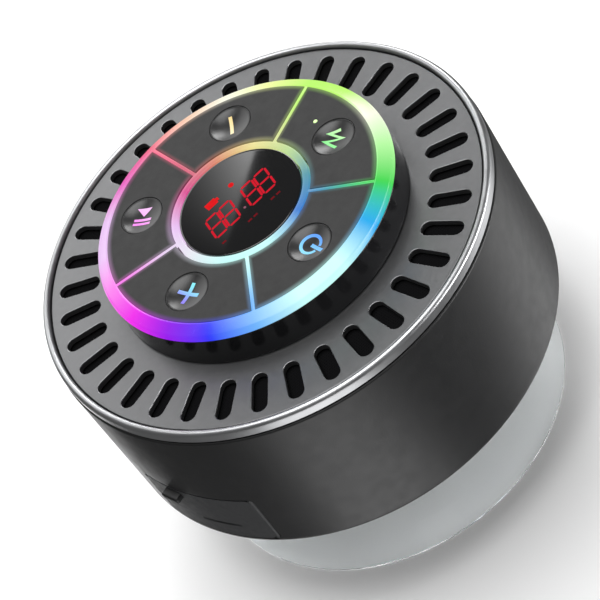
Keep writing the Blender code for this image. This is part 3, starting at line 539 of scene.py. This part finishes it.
guide_finish, shader = plain_finish("lit_acrylic", (0.02, 0.02, 0.02), 0.22, Emission_Strength=1.0,
                                    Specular_IOR_Level=0.3)
uneven_gloss(guide_finish, shader, 0.18, 0.28, 500.0)
feed(guide_finish, shader.inputs["Emission Color"], lamp_colours(guide_finish))

section = rounded([
    (panel_out, guide_low.z + 0.0008, 0.0), (panel_out, pod_top - 0.0001, 0.0), (band_top_r, pod_top, 0.0001),
    (band_out - 0.0003, band_edge + 0.0004, 0.0006), (band_out, band_edge - 0.0004, 0.0003),
    (band_out, pod_high.z + 0.0001, 0.0), (band_out - 0.0002, pod_high.z, 0.0), (0.0266, pod_high.z, 0.0),
    (0.0266, guide_low.z + 0.0008, 0.0)], True, 5)
piece("light_band", turned(section, True, 256), guide_finish, "housing", "guide", "light_guide")

section = rounded([(ring_in, guide_low.z, 0.0), (ring_in, pod_top, 0.00012), (ring_out, pod_top, 0.00012),
                   (ring_out, guide_low.z, 0.0)], True, 3)
piece("light_inner_ring", turned(section, True, 160), guide_finish, "housing", "guide", "light_guide")

spokes = bmesh.new()
spoke_z = pod_top - 0.00008 - spoke_depth / 2.0
spoke_start = ring_out - 0.0003
spoke_end = panel_out + 0.0003
spoke_size = Matrix.Diagonal((spoke_end - spoke_start, spoke_width, spoke_depth, 1.0))
for angle in spoke_angles:
    middle = at_angle(angle, (spoke_start + spoke_end) / 2.0, spoke_z)
    bmesh.ops.create_cube(spokes, size=1.0, matrix=middle @ spoke_size)
bmesh.ops.bevel(spokes, geom=spokes.edges[:], offset=0.00007, offset_type="OFFSET", segments=2, profile=0.5,
                affect="EDGES", material=-1)
piece("light_spokes", spokes, guide_finish, "housing", "guide", "light_guide")

# --- Control panel ---
# The matt black top of the pod, moulded in one piece: five raised sectors on a thin web, with the spokes
# lying in the grooves between them, and a round hole for each key. The guide's light falling on it is painted
# into the panel as a glow in the lamps' colours, fading a little way from the band, ring and spokes.

panel_low, panel_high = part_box("control_panel")
panel_in = 0.0135
groove_half = spoke_width / 2.0 + 0.00008
web_top = panel_high.z - 0.0009
key_circle_r = 0.0196
key_hole_r = 0.0041
status_r = 0.0004
key_angles = {"power": 270.0, "mode": 342.0, "minus": 54.0, "play": 126.0, "plus": 198.0}
status_angle = 0.0
painted_glow_reach = 0.0011

panel_black = (0.025, 0.025, 0.025)
# The panel's emission is painted light: a glow standing in for the guide's light on it, not a lamp of its own.
panel_finish, shader = cloudy_finish("matt_panel", panel_black, 0.9, 250.0, 0.62, Specular_IOR_Level=0.3,
                                     Emission_Strength=0.26)
uneven_gloss(panel_finish, shader, 0.56, 0.68, 700.0)
grain(panel_finish, shader, 7000.0, 0.00002)


def painted_spill_glow(material):
    """Painted spill light: the lamps' colours glowing on the panel, strong beside the guide and fading across
    it.
    """
    coordinates = object_coordinates(material)
    radius = axis_distance(material, coordinates)
    near_ring = mapped(material, radius, panel_in, panel_in + painted_glow_reach, 1.0, 0.0)
    near_band = mapped(material, radius, panel_out - painted_glow_reach, panel_out)
    turned_by = turn_share(material, coordinates)
    sectors = maths(material, "MULTIPLY_ADD", turned_by, 360.0 / sector, 0.5 - spoke_angles[0] / sector)
    off_spoke = maths(material, "SUBTRACT", maths(material, "FRACT", sectors), 0.5)
    turn = maths(material, "MULTIPLY", maths(material, "ABSOLUTE", off_spoke), math.radians(sector))
    distance = maths(material, "MULTIPLY", turn, radius)
    near_spoke = mapped(material, distance, groove_half, groove_half + 0.7 * painted_glow_reach, 0.8, 0.0)
    glow = maths(material, "MAXIMUM", maths(material, "MAXIMUM", near_spoke, near_ring), near_band)
    dimmed = add_node(material, "ShaderNodeVectorMath", {"operation": "SCALE"}, Scale=glow)
    feed(material, dimmed.inputs[0], lamp_colours(material))
    return dimmed.outputs["Vector"]


# Paints the guide's spill light onto the panel as emission.
feed(panel_finish, shader.inputs["Emission Color"], painted_spill_glow(panel_finish))


def arc_points(radius, start, end, steps):
    turns = [math.radians(start + (end - start) * step / steps) for step in range(steps + 1)]
    return [(radius * math.cos(turn), radius * math.sin(turn)) for turn in turns]


def around(angle, radius=key_circle_r):
    """The place at this angle on a circle about the speaker's axis."""
    return (radius * math.cos(math.radians(angle)), radius * math.sin(math.radians(angle)))


loops = []
for spoke in spoke_angles:
    inner_turn = math.degrees(math.asin(groove_half / panel_in))
    outer_turn = math.degrees(math.asin(groove_half / panel_out))
    outline = arc_points(panel_out, spoke + outer_turn, spoke + sector - outer_turn, 40)
    outline += arc_points(panel_in, spoke + sector - inner_turn, spoke + inner_turn, 24)
    loops.append(outline)
key_holes = [circle(key_hole_r, 64, around(angle)) for angle in key_angles.values()]
status_hole = circle(status_r + 0.00006, 24, around(status_angle))
piece("panel_sectors", plate(loops + key_holes + [status_hole], web_top - 0.0002, panel_high.z, 0.00009),
      panel_finish, "housing", "panel", "control_panel", crease=20.0)
loops = [circle(panel_out, 160), circle(panel_in, 96)] + key_holes + [status_hole]
piece("panel_web", plate(loops, panel_low.z, web_top, 0.00005, 1), panel_finish, "housing", "panel",
      "control_panel", crease=20.0)

# --- Keys ---
# Five round keys of black silicone with a dished top, each on its own dome switch and held from below by a
# flange. A translucent sign is moulded into each dish and lit from behind.

key_r = 0.00403
flange_r = 0.0047
dish_r = 0.0038
dish_depth = 0.0007
dish_sphere = (dish_r ** 2 + dish_depth ** 2) / (2.0 * dish_depth)
key_low, key_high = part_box("power_key")
key_top = key_high.z


def dish_height(radius):
    """How high the dish lies above its lowest point."""
    return dish_sphere - math.sqrt(dish_sphere ** 2 - min(radius, dish_r) ** 2)


key_black = (0.005, 0.005, 0.0053)
key_finish, shader = cloudy_finish("black_silicone", key_black, 0.75, 500.0, 0.3)
uneven_gloss(key_finish, shader, 0.28, 0.32, 900.0)
grain(key_finish, shader, 9000.0, 0.00001, 0.35)

dish_line = [(dish_r * step / 14.0, key_top - dish_depth + dish_height(dish_r * step / 14.0), 0.0)
             for step in range(15)]
key_section = rounded(dish_line + [
    (key_r, key_top, 0.00005), (key_r, key_low.z + 0.00065, 0.0), (flange_r, key_low.z + 0.00065, 0.0001),
    (flange_r, key_low.z + 0.00015, 0.0001), (0.0016, key_low.z + 0.00015, 0.0), (0.0016, key_low.z, 0.0),
    (0.0, key_low.z, 0.0)], False, 4)


def strip(start, end, width):
    """The outline of a straight stroke with square ends."""
    along = (Vector(end) - Vector(start)).normalized() * width / 2.0
    aside = Vector((-along.y, along.x))
    return [Vector(start) - aside, Vector(end) - aside, Vector(end) + aside, Vector(start) + aside]


def broken_ring(radius, width, gap_angle, gap):
    """A ring's outline with a gap centred on this angle, both in degrees."""
    start = gap_angle + gap / 2.0
    end = gap_angle - gap / 2.0 + 360.0
    return (arc_points(radius + width / 2.0, start, end, 44) + arc_points(radius - width / 2.0, end, start, 36))


def zigzag(points, width):
    """The outline of a folded stroke, with mitred corners."""
    sides = ([], [])
    for index, point in enumerate(points):
        here = Vector(point)
        before = (here - Vector(points[index - 1])).normalized() if index else None
        after = (Vector(points[index + 1]) - here).normalized() if index + 1 < len(points) else None
        before = before or after
        after = after or before
        corner = (Vector((-before.y, before.x)) + Vector((-after.y, after.x))).normalized()
        reach = width / 2.0 / max(corner.dot(Vector((-before.y, before.x))), 0.45)
        sides[0].append(here + corner * reach)
        sides[1].append(here - corner * reach)
    return sides[0] + sides[1][::-1]


stroke = 0.00068
sign_loops = {
    "power": [broken_ring(0.00185, 0.00058, 0.0, 34.0), strip((0.0001, 0.0), (0.0031, 0.0), stroke)],
    "plus": [[(x * 0.001, y * 0.001) for x, y in (
        (2.2, 0.36), (0.36, 0.36), (0.36, 2.2), (-0.36, 2.2), (-0.36, 0.36), (-2.2, 0.36), (-2.2, -0.36),
        (-0.36, -0.36), (-0.36, -2.2), (0.36, -2.2), (0.36, -0.36), (2.2, -0.36))]],
    "minus": [strip((-0.0022, 0.0), (0.0022, 0.0), stroke)],
    "play": [strip((-0.0017, 0.00145), (0.0017, 0.00145), 0.00056),
             strip((-0.0017, 0.0005), (0.0017, 0.0005), 0.00056),
             [(-0.0015, -0.0020), (0.0015, -0.0020), (0.0, -0.0003)]],
    "mode": [zigzag([(-0.0020, -0.0010), (-0.0007, 0.0017), (0.0002, -0.0015), (0.0011, 0.0014),
                     (0.0020, -0.0006)], 0.00062)]}
sign_turns = {"mode": 45.0}
sign_colours = {"power": ((120, 215, 255), (60, 150, 250)), "plus": ((130, 110, 250), (120, 235, 250)),
                "minus": ((255, 240, 190), (250, 215, 130)), "play": ((255, 120, 240), (250, 190, 250)),
                "mode": ((120, 240, 130), (190, 250, 170))}
sign_depth = 0.00012
sign_stand = 0.00002

for key, angle in key_angles.items():
    place = Matrix.Translation((*around(angle), 0.0))
    cap = turned(key_section, False, 96)
    bmesh.ops.transform(cap, matrix=place, verts=cap.verts)
    piece(key + "_key_cap", cap, key_finish, key + "_key", "key", key + "_key")

    sign = plate(sign_loops[key], 0.0, sign_depth, 0.00001, 1)
    for step in range(-8, 9):
        for normal in ((1.0, 0.0, 0.0), (0.0, 1.0, 0.0)):
            bmesh.ops.bisect_plane(sign, geom=sign.verts[:] + sign.edges[:] + sign.faces[:],
                                   plane_co=Vector(normal) * step * 0.0004, plane_no=normal)
    for vert in sign.verts:
        vert.co.z += key_top - dish_depth + dish_height(vert.co.xy.length) - sign_depth + sign_stand
    turn = Matrix.Rotation(math.radians(angle + sign_turns.get(key, 0.0)), 4, "Z")
    bmesh.ops.transform(sign, matrix=place @ turn, verts=sign.verts)
    sign_finish, shader = plain_finish(key + "_sign_glow", (0.04, 0.04, 0.04), 0.5, Emission_Strength=1.0)
    spot = add_node(sign_finish, "ShaderNodeMapping", Vector=object_coordinates(sign_finish),
                    Location=(*[-value for value in around(angle)], -key_top))
    sweep = add_node(sign_finish, "ShaderNodeSeparateXYZ", Vector=spot.outputs["Vector"])
    share = mapped(sign_finish, sweep.outputs["X"], -0.002, 0.002)
    glow = blended(sign_finish, share, *[linear(colour) for colour in sign_colours[key]])
    feed(sign_finish, shader.inputs["Emission Color"], glow)
    piece(key + "_key_sign", sign, sign_finish, key + "_key", "key", crease=20.0)

# --- Status light ---
# A thin clear pin beside the mode key that carries the status lamp's light to the surface.

status_finish, shader = plain_finish("status_glow", (0.4, 0.4, 0.35), 0.25, Emission_Strength=1.0)
feed(status_finish, shader.inputs["Emission Color"], lamp_colours(status_finish))
status_low, status_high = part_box("status_light_pipe")
pin_section = rounded([(0.0, status_high.z, 0.0), (status_r, status_high.z, 0.00015),
                       (status_r, status_low.z, 0.0), (0.0, status_low.z, 0.0)], False, 4)
pin = turned(pin_section, False, 32)
bmesh.ops.translate(pin, verts=pin.verts, vec=(*around(status_angle), 0.0))
piece("status_pin", pin, status_finish, "housing", "guide", "status_light_pipe")

# --- Display window ---
# A polished disc of smoked acrylic over the display, dropped into the light guide's inner ring.

window_low, window_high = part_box("display_window")
window_r = window_high.y
smoke = (0.003, 0.003, 0.0035)
window_finish, shader = cloudy_finish("smoked_acrylic", smoke, 0.6, 90.0, 0.05, Coat_Weight=0.6,
                                      Coat_Roughness=0.03)
uneven_gloss(window_finish, shader, 0.035, 0.06, 160.0)
section = rounded([(0.0, window_high.z, 0.0), (window_r - 0.0005, window_high.z, 0.0),
                   (window_r, window_high.z, 0.00018), (window_r, window_low.z, 0.0001),
                   (0.0, window_low.z, 0.0)], False, 4)
piece("window_disc", turned(section, False, 160), window_finish, "housing", "window", "display_window")

# --- Display figures ---
# The red segments of the clock: four slanted figures, a dot, a battery mark, a lamp dot and a row of dim
# marks, printed on the back of the window and lit by the display module.

figure_width = 0.0026
figure_height = 0.0051
figure_slant = math.tan(math.radians(11.0))
figure_stroke = 0.00044
figure_gap = 0.00012
row_turn = -5.2
row_places = (-0.00585, -0.00275, 0.00245, 0.00555)
row_height = -0.00050


def segment(start, end):
    """One segment's outline: a bar with pointed ends, a little short of its corners."""
    start = Vector(start)
    end = Vector(end)
    along = (end - start).normalized()
    aside = Vector((-along.y, along.x)) * figure_stroke / 2.0
    tip = along * figure_stroke / 2.0
    start += along * figure_gap
    end -= along * figure_gap
    return [start, start + tip - aside, end - tip - aside, end, end - tip + aside, start + tip + aside]


def eight():
    """The seven segments of a figure, centred on the origin."""
    x = figure_width / 2.0
    y = figure_height / 2.0
    return [segment(*ends) for ends in (
        ((-x, y), (x, y)), ((-x, 0.0), (x, 0.0)), ((-x, -y), (x, -y)), ((-x, 0.0), (-x, y)), ((x, 0.0), (x, y)),
        ((-x, -y), (-x, 0.0)), ((x, -y), (x, 0.0)))]


def slanted(loops, x, y=row_height):
    """Outlines leaned over and moved along the row."""
    return [[(point[0] + figure_slant * point[1] + x, point[1] + y) for point in loop] for loop in loops]


def display_piece(name, loops, colour, strength):
    """Lit marks in the window, turned into line with the display."""
    bm = plate(loops, window_high.z - 0.0001, window_high.z + 0.00002, 0.00001, 1)
    bmesh.ops.transform(bm, matrix=at_angle(row_turn), verts=bm.verts)
    finish, shader = plain_finish(name + "_glow", (0.02, 0.002, 0.002), 0.3, Emission_Strength=strength,
                                  Specular_IOR_Level=0.0)
    flicker = add_node(finish, "ShaderNodeTexNoise", Vector=object_coordinates(finish), Scale=1500.0)
    red = linear(colour)
    glow = blended(finish, flicker.outputs["Fac"], darkened(red, 0.7), red)
    feed(finish, shader.inputs["Emission Color"], glow)
    piece(name, bm, finish, "housing", "display", crease=20.0)


figures = [loop for x in row_places for loop in slanted(eight(), x)]
display_piece("display_figures", figures, (225, 30, 50), 1.0)
display_piece("display_dot", [circle(0.00026, 16, (-0.0003, -0.0021))], (190, 130, 150), 0.6)
battery = [(-0.0013, -0.0008), (0.0010, -0.0008), (0.0010, -0.0004), (0.0015, -0.0004), (0.0015, 0.0004),
           (0.0010, 0.0004), (0.0010, 0.0008), (-0.0013, 0.0008)]
marks = [[(x - 0.0034, y + 0.0044) for x, y in battery], circle(0.00055, 24, (0.0013, 0.0046))]
display_piece("display_marks", marks, (240, 30, 35), 1.0)
dim_marks = [strip((x - 0.00045, y), (x + 0.00045, y), 0.0004) for x, y in (
    (-0.0073, -0.0050), (-0.0015, -0.0054), (-0.0002, -0.0054), (0.0040, -0.0052), (0.0053, -0.0052))]
display_piece("display_dim_marks", dim_marks, (130, 25, 35), 0.8)

# --- Port cover ---
# The flap over the charging socket: soft charcoal rubber with a pull tab, a finger groove and a plug on its
# back, with a round knuckle at the end that it swings on.

cover_low, cover_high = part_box("port_cover")
cover_in = 0.0423
hinge = next(joint for joint in frame["record"]["behaviour"]["joints"] if joint["name"] == "port_cover_hinge")
groove_angle = 199.5
groove_z = 0.0272
tab_angle = 190.0
tab_z = 0.0338
tab_reach = 0.0015

rubber = (0.036, 0.037, 0.039)
flap_finish, shader = cloudy_finish("soft_rubber", rubber, 0.8, 180.0, 0.52, Specular_IOR_Level=0.4)
uneven_gloss(flap_finish, shader, 0.46, 0.6, 800.0)
grain(flap_finish, shader, 6000.0, 0.00003)


flap = piece("port_flap", port_block(cover_in, drum_r, cover_low.z, cover_high.z, flap_start, flap_end, 0.0012),
             flap_finish, "port_cover", "flap", "port_cover")
knuckle = bmesh.new()
bmesh.ops.create_cone(knuckle, segments=32, radius1=0.0006, radius2=0.0006, depth=cover_high.z - cover_low.z,
                      cap_ends=True, matrix=Matrix.Translation(hinge["pos_m"]))
combine(flap, knuckle, "UNION")
combine(flap, block(at_angle(port_angle, cover_in, port_z), (0.0019, 0.0084, 0.0026), 0.0005), "UNION")
combine(flap, block(at_angle(groove_angle, drum_r, groove_z), (0.0007, 0.0088, 0.0008), 0.00025), "DIFFERENCE")

tab_black = (0.006, 0.006, 0.0065)
tab_finish, shader = cloudy_finish("black_rubber", tab_black, 0.8, 400.0, 0.45)
grain(tab_finish, shader, 6000.0, 0.00003)
pull_tab = block(at_angle(tab_angle, drum_r + tab_reach / 2.0 - 0.0005, tab_z),
                 (tab_reach + 0.0009, 0.0040, 0.0014), 0.00035)
piece("port_flap_tab", pull_tab, tab_finish, "port_cover", "flap", "port_cover")

# --- Threaded insert and stud ---
# A knurled brass insert is moulded into the back of the shell, and the cup's zinc-plated stud screws into
# it. The stud's flange and its lower end are moulded into the cup's hub.

brass = (0.62, 0.44, 0.17)
brass_finish, shader = cloudy_finish("turned_brass", brass, 0.8, 300.0, 0.28, 1.0)
turning_marks(brass_finish, shader, 2500.0, 0.00001)
zinc = (0.60, 0.61, 0.63)
zinc_finish, shader = cloudy_finish("zinc_plate", zinc, 0.85, 350.0, 0.26, 1.0)
uneven_gloss(zinc_finish, shader, 0.2, 0.36, 700.0)


def dress(material, *names):
    """Gives carried-over CAD nodes their finish."""
    for name in names:
        mesh = frame["nodes"][name].data
        mesh.materials.clear()
        mesh.materials.append(material)


dress(brass_finish, "threaded_insert")
stud_low, stud_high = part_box("cup_stud")
stud_r = 0.0030
thread_depth = 0.00030
pitch = 0.0008
section = [(0.0, stud_high.z, 0.0), (stud_r - thread_depth, stud_high.z, 0.0001)]
turns = 6
for number in range(turns):
    crest = stud_high.z - 0.0004 - number * pitch
    section += [(stud_r, crest, 0.00004), (stud_r - thread_depth, crest - pitch / 2.0, 0.00004)]
section += [(stud_r - thread_depth, 0.0213, 0.0), (0.0066, 0.0213, 0.00015), (0.0066, 0.0205, 0.00015),
            (stud_r, 0.0205, 0.0001)]
for number in range(turns):
    groove = 0.0188 - number * 0.0010
    section += [(stud_r, groove, 0.00006), (stud_r - thread_depth, groove - 0.0002, 0.00005),
                (stud_r - thread_depth, groove - 0.0005, 0.00005), (stud_r, groove - 0.0007, 0.00006)]
section += [(stud_r, stud_low.z, 0.0002), (0.0, stud_low.z, 0.0)]
piece("stud", turned(rounded(section, False, 3), False, 72), zinc_finish, "suction_cup", "stud", "cup_stud")

# --- Suction cup ---
# The clear cup that holds the speaker to a wall: one soft PVC moulding with a thick hub, a thin flared
# skirt and a flat sealing lip.

cup_low, cup_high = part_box("suction_cup")
cup_r = cup_high.y
clear = (0.93, 0.955, 0.96)
cup_finish, shader = cloudy_finish("clear_pvc", clear, 0.97, 60.0, 0.04, Transmission_Weight=1.0, IOR=1.3)
uneven_gloss(cup_finish, shader, 0.03, 0.1, 120.0)
section = rounded([
    (0.0, 0.0121, 0.0), (0.0033, 0.0121, 0.0003), (0.0033, cup_high.z, 0.0002), (0.0090, cup_high.z, 0.0005),
    (0.0090, 0.0154, 0.0018), (0.0125, 0.0122, 0.0050), (0.0200, 0.0100, 0.0200), (0.0275, 0.0068, 0.0200),
    (0.0330, 0.0030, 0.0150), (0.0354, 0.0009, 0.0020), (cup_r, 0.00035, 0.0002), (cup_r, 0.0, 0.0001),
    (0.0342, 0.0, 0.0006), (0.0280, 0.0034, 0.0150), (0.0200, 0.0058, 0.0200), (0.0100, 0.0070, 0.0200),
    (0.0, cup_low.z + 0.0073, 0.0)], False, 5)
clear_cup = piece("clear_cup", turned(section, False, 192), cup_finish, "suction_cup", "cup", "suction_cup")
clear_cup.visible_shadow = False

# --- Chassis, seal and tray ---
# Inside the drum: the glass-filled chassis that carries the driver, the seal between it and the shell, and
# the tray that the cell lies in.

chassis_black = (0.020, 0.021, 0.022)
chassis_finish, shader = cloudy_finish("glass_filled_nylon", chassis_black, 0.7, 900.0, 0.55)
grain(chassis_finish, shader, 4000.0, 0.00005)
dress(chassis_finish, "front_chassis", "battery_tray")
seal_black = (0.010, 0.010, 0.010)
seal_finish, shader = cloudy_finish("seal_rubber", seal_black, 0.7, 600.0, 0.7)
grain(seal_finish, shader, 3000.0, 0.00003)
dress(seal_finish, "housing_seal")

# --- Boards, lamps, switches and display ---
# The two circuit boards in black solder resist, the ring of lamps, the five dome switches, the display
# module, the radio can and the charging socket.

resist = (0.010, 0.014, 0.012)
board_finish, shader = cloudy_finish("solder_resist", resist, 0.6, 1500.0, 0.4, Coat_Weight=0.3)
grain(board_finish, shader, 2500.0, 0.00002)
dress(board_finish, "control_board", "main_board")
lamp_white = (0.75, 0.76, 0.70)
lamp_finish, shader = cloudy_finish("lamp_ring", lamp_white, 0.7, 800.0, 0.4)
dress(lamp_finish, "led_ring")
dome = (0.05, 0.05, 0.055)
switch_finish, shader = cloudy_finish("switch_plastic", dome, 0.6, 1200.0, 0.45)
dress(switch_finish, *[key + "_switch" for key in key_angles])
module_grey = (0.03, 0.03, 0.032)
module_finish, shader = cloudy_finish("display_body", module_grey, 0.6, 400.0, 0.35)
dress(module_finish, "display_module")
tin = (0.55, 0.55, 0.54)
tin_finish, shader = cloudy_finish("tinned_steel", tin, 0.8, 700.0, 0.3, 1.0)
uneven_gloss(tin_finish, shader, 0.24, 0.4, 900.0)
dress(tin_finish, "radio_module", "charging_socket")

# --- Driver ---
# The loudspeaker itself: a pressed black basket, a plated motor with a ferrite magnet, a copper coil, a
# paper cone and dust cap on a rubber roll, and a resin-stiffened cloth spider. The spider's collar is
# turned down beside the coil, which leaves the cone's neck room to come back.

basket_black = (0.030, 0.030, 0.032)
basket_finish, shader = cloudy_finish("black_pressed_steel", basket_black, 0.75, 500.0, 0.42)
grain(basket_finish, shader, 3500.0, 0.00002)
dress(basket_finish, "driver_basket")
plated = (0.56, 0.57, 0.58)
motor_finish, shader = cloudy_finish("plated_motor_steel", plated, 0.8, 250.0, 0.3, 1.0)
turning_marks(motor_finish, shader, 900.0, 0.00001)
dress(motor_finish, "driver_top_plate", "driver_yoke")
ferrite = (0.032, 0.032, 0.034)
ferrite_finish, shader = cloudy_finish("ground_ferrite", ferrite, 0.6, 350.0, 0.6)
grain(ferrite_finish, shader, 1800.0, 0.00006)
dress(ferrite_finish, "driver_magnet")
copper = (0.52, 0.20, 0.08)
coil_finish, shader = plain_finish("enamelled_copper", copper, 0.3, 0.9)
windings = add_node(coil_finish, "ShaderNodeTexWave", {"bands_direction": "Z"},
                    Vector=object_coordinates(coil_finish), Scale=1600.0)
wound = blended(coil_finish, windings.outputs["Fac"], darkened(copper, 0.4), copper)
feed(coil_finish, shader.inputs["Base Color"], wound)
dress(coil_finish, "voice_coil")
pulp = (0.028, 0.028, 0.030)
cone_finish, shader = cloudy_finish("pressed_paper", pulp, 0.6, 1400.0, 0.85)
grain(cone_finish, shader, 2200.0, 0.00008)
dress(cone_finish, "cone", "dust_cap")
roll_black = (0.012, 0.012, 0.012)
roll_finish, shader = cloudy_finish("rubber_roll", roll_black, 0.7, 400.0, 0.55)
dress(roll_finish, "surround")
phenolic = (0.36, 0.22, 0.08)
spider_finish, shader = plain_finish("stiffened_cloth", phenolic, 0.75)
weave = add_node(spider_finish, "ShaderNodeTexChecker", Vector=object_coordinates(spider_finish), Scale=2600.0,
                 Color1=(*phenolic, 1.0), Color2=(*darkened(phenolic, 0.6), 1.0))
feed(spider_finish, shader.inputs["Base Color"], weave.outputs["Color"])
spider_low, spider_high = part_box("spider")
spider_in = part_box("voice_coil")[1].y + 0.00003
cloth = 0.0004
collar_top = 0.0401
wave_in = spider_in + 0.0019
wave_out = spider_high.y - 0.0011
wave_height = spider_high.z - spider_low.z - cloth
waves = 4
wave_steps = 8 * waves
top = [(spider_in, collar_top), (spider_in + 0.0011, collar_top)]
for step in range(wave_steps + 1):
    share = step / wave_steps
    lift = wave_height * (1.0 - math.cos(2.0 * math.pi * waves * share)) / 2.0
    top.append((wave_in + (wave_out - wave_in) * share, spider_low.z + cloth + lift))
top.append((spider_high.y, spider_low.z + cloth))
underside = [(radius, height - cloth) for radius, height in reversed(top)]
piece("spider_disc", turned(top + underside, True, 96), spider_finish, "housing", "spider_cloth", "spider")

# --- Cell and leads ---
# The lithium cell in its blue shrink sleeve, and the insulated leads from it, to the driver and to the pod.

sleeve = (0.04, 0.09, 0.24)
sleeve_finish, shader = cloudy_finish("shrink_sleeve", sleeve, 0.75, 120.0, 0.3, Coat_Weight=0.4,
                                      Coat_Roughness=0.15)
grain(sleeve_finish, shader, 700.0, 0.0001)
dress(sleeve_finish, "battery")
for lead_name, lead_colour in (("control_cable", (0.30, 0.30, 0.31)), ("driver_leads", (0.30, 0.015, 0.010)),
                               ("battery_leads", (0.35, 0.02, 0.012))):
    lead_finish, shader = cloudy_finish(lead_name + "_vinyl", lead_colour, 0.8, 600.0, 0.45)
    dress(lead_finish, lead_name)

# --- Screws ---
# Twelve zinc-plated screws: four hold the pod, four the driver and four the chassis.

screw_finish, shader = cloudy_finish("plated_screws", zinc, 0.8, 900.0, 0.32, 1.0)
uneven_gloss(screw_finish, shader, 0.25, 0.42, 1500.0)
for group in ("pod", "driver", "chassis"):
    dress(screw_finish, *[f"{group}_screw_{number}" for number in range(1, 5)])

# --- Floor, light and camera ---
# A pale studio: the cup's rim stands on a plain floor, among soft lights that are only seen in reflections.
# Three of them are low, below the floor, which neither shades the speaker nor shows in its gloss.

floor_mesh = bmesh.new()
bmesh.ops.create_grid(floor_mesh, x_segments=1, y_segments=1, size=3.0)
bmesh.ops.translate(floor_mesh, verts=floor_mesh.verts, vec=(0.0, 0.0, cad_box[0][2] - 0.0001))
mesh = bpy.data.meshes.new("studio_floor")
floor_mesh.to_mesh(mesh)
floor_mesh.free()
floor_white = (0.95, 0.95, 0.95)
floor_finish, shader = cloudy_finish("floor_paint", floor_white, 0.99, 3.0, 0.7, Specular_IOR_Level=0.2)
mesh.materials.append(floor_finish)
studio_floor = bpy.data.objects.new("studio_floor", mesh)
bpy.context.scene.collection.objects.link(studio_floor)
studio_floor.visible_glossy = False
studio_floor.visible_shadow = False

world = bpy.data.worlds.new("studio")
world.use_nodes = True
world.node_tree.nodes["Background"].inputs["Color"].default_value = (1.0, 1.0, 1.0, 1.0)
world.node_tree.nodes["Background"].inputs["Strength"].default_value = 0.14
bpy.context.scene.world = world
bpy.context.scene.view_settings.view_transform = "Standard"


def soft_light(name, azimuth, elevation, distance, width, height, power, target=(0.0, 0.0, 0.045)):
    """A rectangular light at this bearing from the target and turned to face it."""
    lamp = bpy.data.lights.new(name, "AREA")
    lamp.shape = "RECTANGLE"
    lamp.size = width
    lamp.size_y = height
    lamp.energy = power
    made = bpy.data.objects.new(name, lamp)
    bpy.context.scene.collection.objects.link(made)
    level = math.cos(math.radians(elevation))
    bearing = Vector((level * math.cos(math.radians(azimuth)), level * math.sin(math.radians(azimuth)),
                      math.sin(math.radians(elevation))))
    made.location = Vector(target) + bearing * distance
    made.rotation_euler = bearing.to_track_quat("Z", "Y").to_euler()
    made.visible_camera = False
    return made


soft_light("overhead", 90.0, 85.0, 1.2, 0.9, 0.9, 13.0)
soft_light("low_near", 230.0, -42.0, 0.4, 0.26, 0.4, 0.62)
soft_light("low_right", 345.0, -42.0, 0.4, 0.22, 0.4, 0.4)
soft_light("low_left", 100.0, -42.0, 0.4, 0.2, 0.4, 0.6)
soft_light("far_side", 48.0, 28.0, 0.8, 0.25, 0.25, 1.8)
soft_light("front", 238.0, 52.0, 0.9, 0.3, 0.3, 0.4)
soft_light("cup_fill", 318.0, 9.0, 0.6, 0.5, 0.08, 3.2, (0.0, 0.0, 0.0))

glare_distance = 0.3
glare_along = Vector((0.874, 0.163, -0.458))
glare_across = Vector((-0.437, 0.674, -0.596))
glare_bearing = Vector((0.211, 0.721, 0.660))


def glare_card(name, start, end, near, far, power):
    """A card that the face mirrors: from start to end along the line across the window, near to far from it."""
    card = soft_light(name, 0.0, 0.0, glare_distance, end - start, far - near, power)
    card.rotation_euler = Matrix((glare_along, glare_across, glare_bearing)).transposed().to_euler()
    card.location = (Vector((0.0, 0.0, window_high.z)) + glare_bearing * glare_distance
                     + glare_along * (start + end) / 2.0 + glare_across * (near + far) / 2.0)
    return card


glare_card("face_card", -0.16, 0.16, 0.03, 0.25, 0.42)
glare = glare_card("window_card", -0.02, 0.024, 0.0, 0.03, 0.022)
glare.data.use_nodes = True
card_place = add_node(glare.data, "ShaderNodeNewGeometry")
card_parts = add_node(glare.data, "ShaderNodeSeparateXYZ", Vector=card_place.outputs["Parametric"])
close_by = maths(glare.data, "SUBTRACT", 1.0, card_parts.outputs["Y"])
both = maths(glare.data, "MULTIPLY", close_by, card_parts.outputs["X"])
fade = maths(glare.data, "POWER", both, 1.9)
feed(glare.data, glare.data.node_tree.nodes["Emission"].inputs["Strength"], fade)

camera_data = bpy.data.cameras.new("camera")
camera_data.lens = 150.95
camera_data.sensor_width = 36.0
camera = bpy.data.objects.new("camera", camera_data)
bpy.context.scene.collection.objects.link(camera)
camera_target = Vector((-0.00411, -0.00886, 0.04499))
camera_azimuth = math.radians(-106.045)
camera_elevation = math.radians(43.931)
camera_distance = 0.44012
camera_roll = math.radians(35.718)
bearing = Vector((math.cos(camera_elevation) * math.cos(camera_azimuth),
                  math.cos(camera_elevation) * math.sin(camera_azimuth), math.sin(camera_elevation)))
camera.location = camera_target + bearing * camera_distance
camera.rotation_euler = (bearing.to_track_quat("Z", "Y").to_matrix().to_4x4()
                         @ Matrix.Rotation(-camera_roll, 4, "Z")).to_euler()
bpy.context.scene.camera = camera
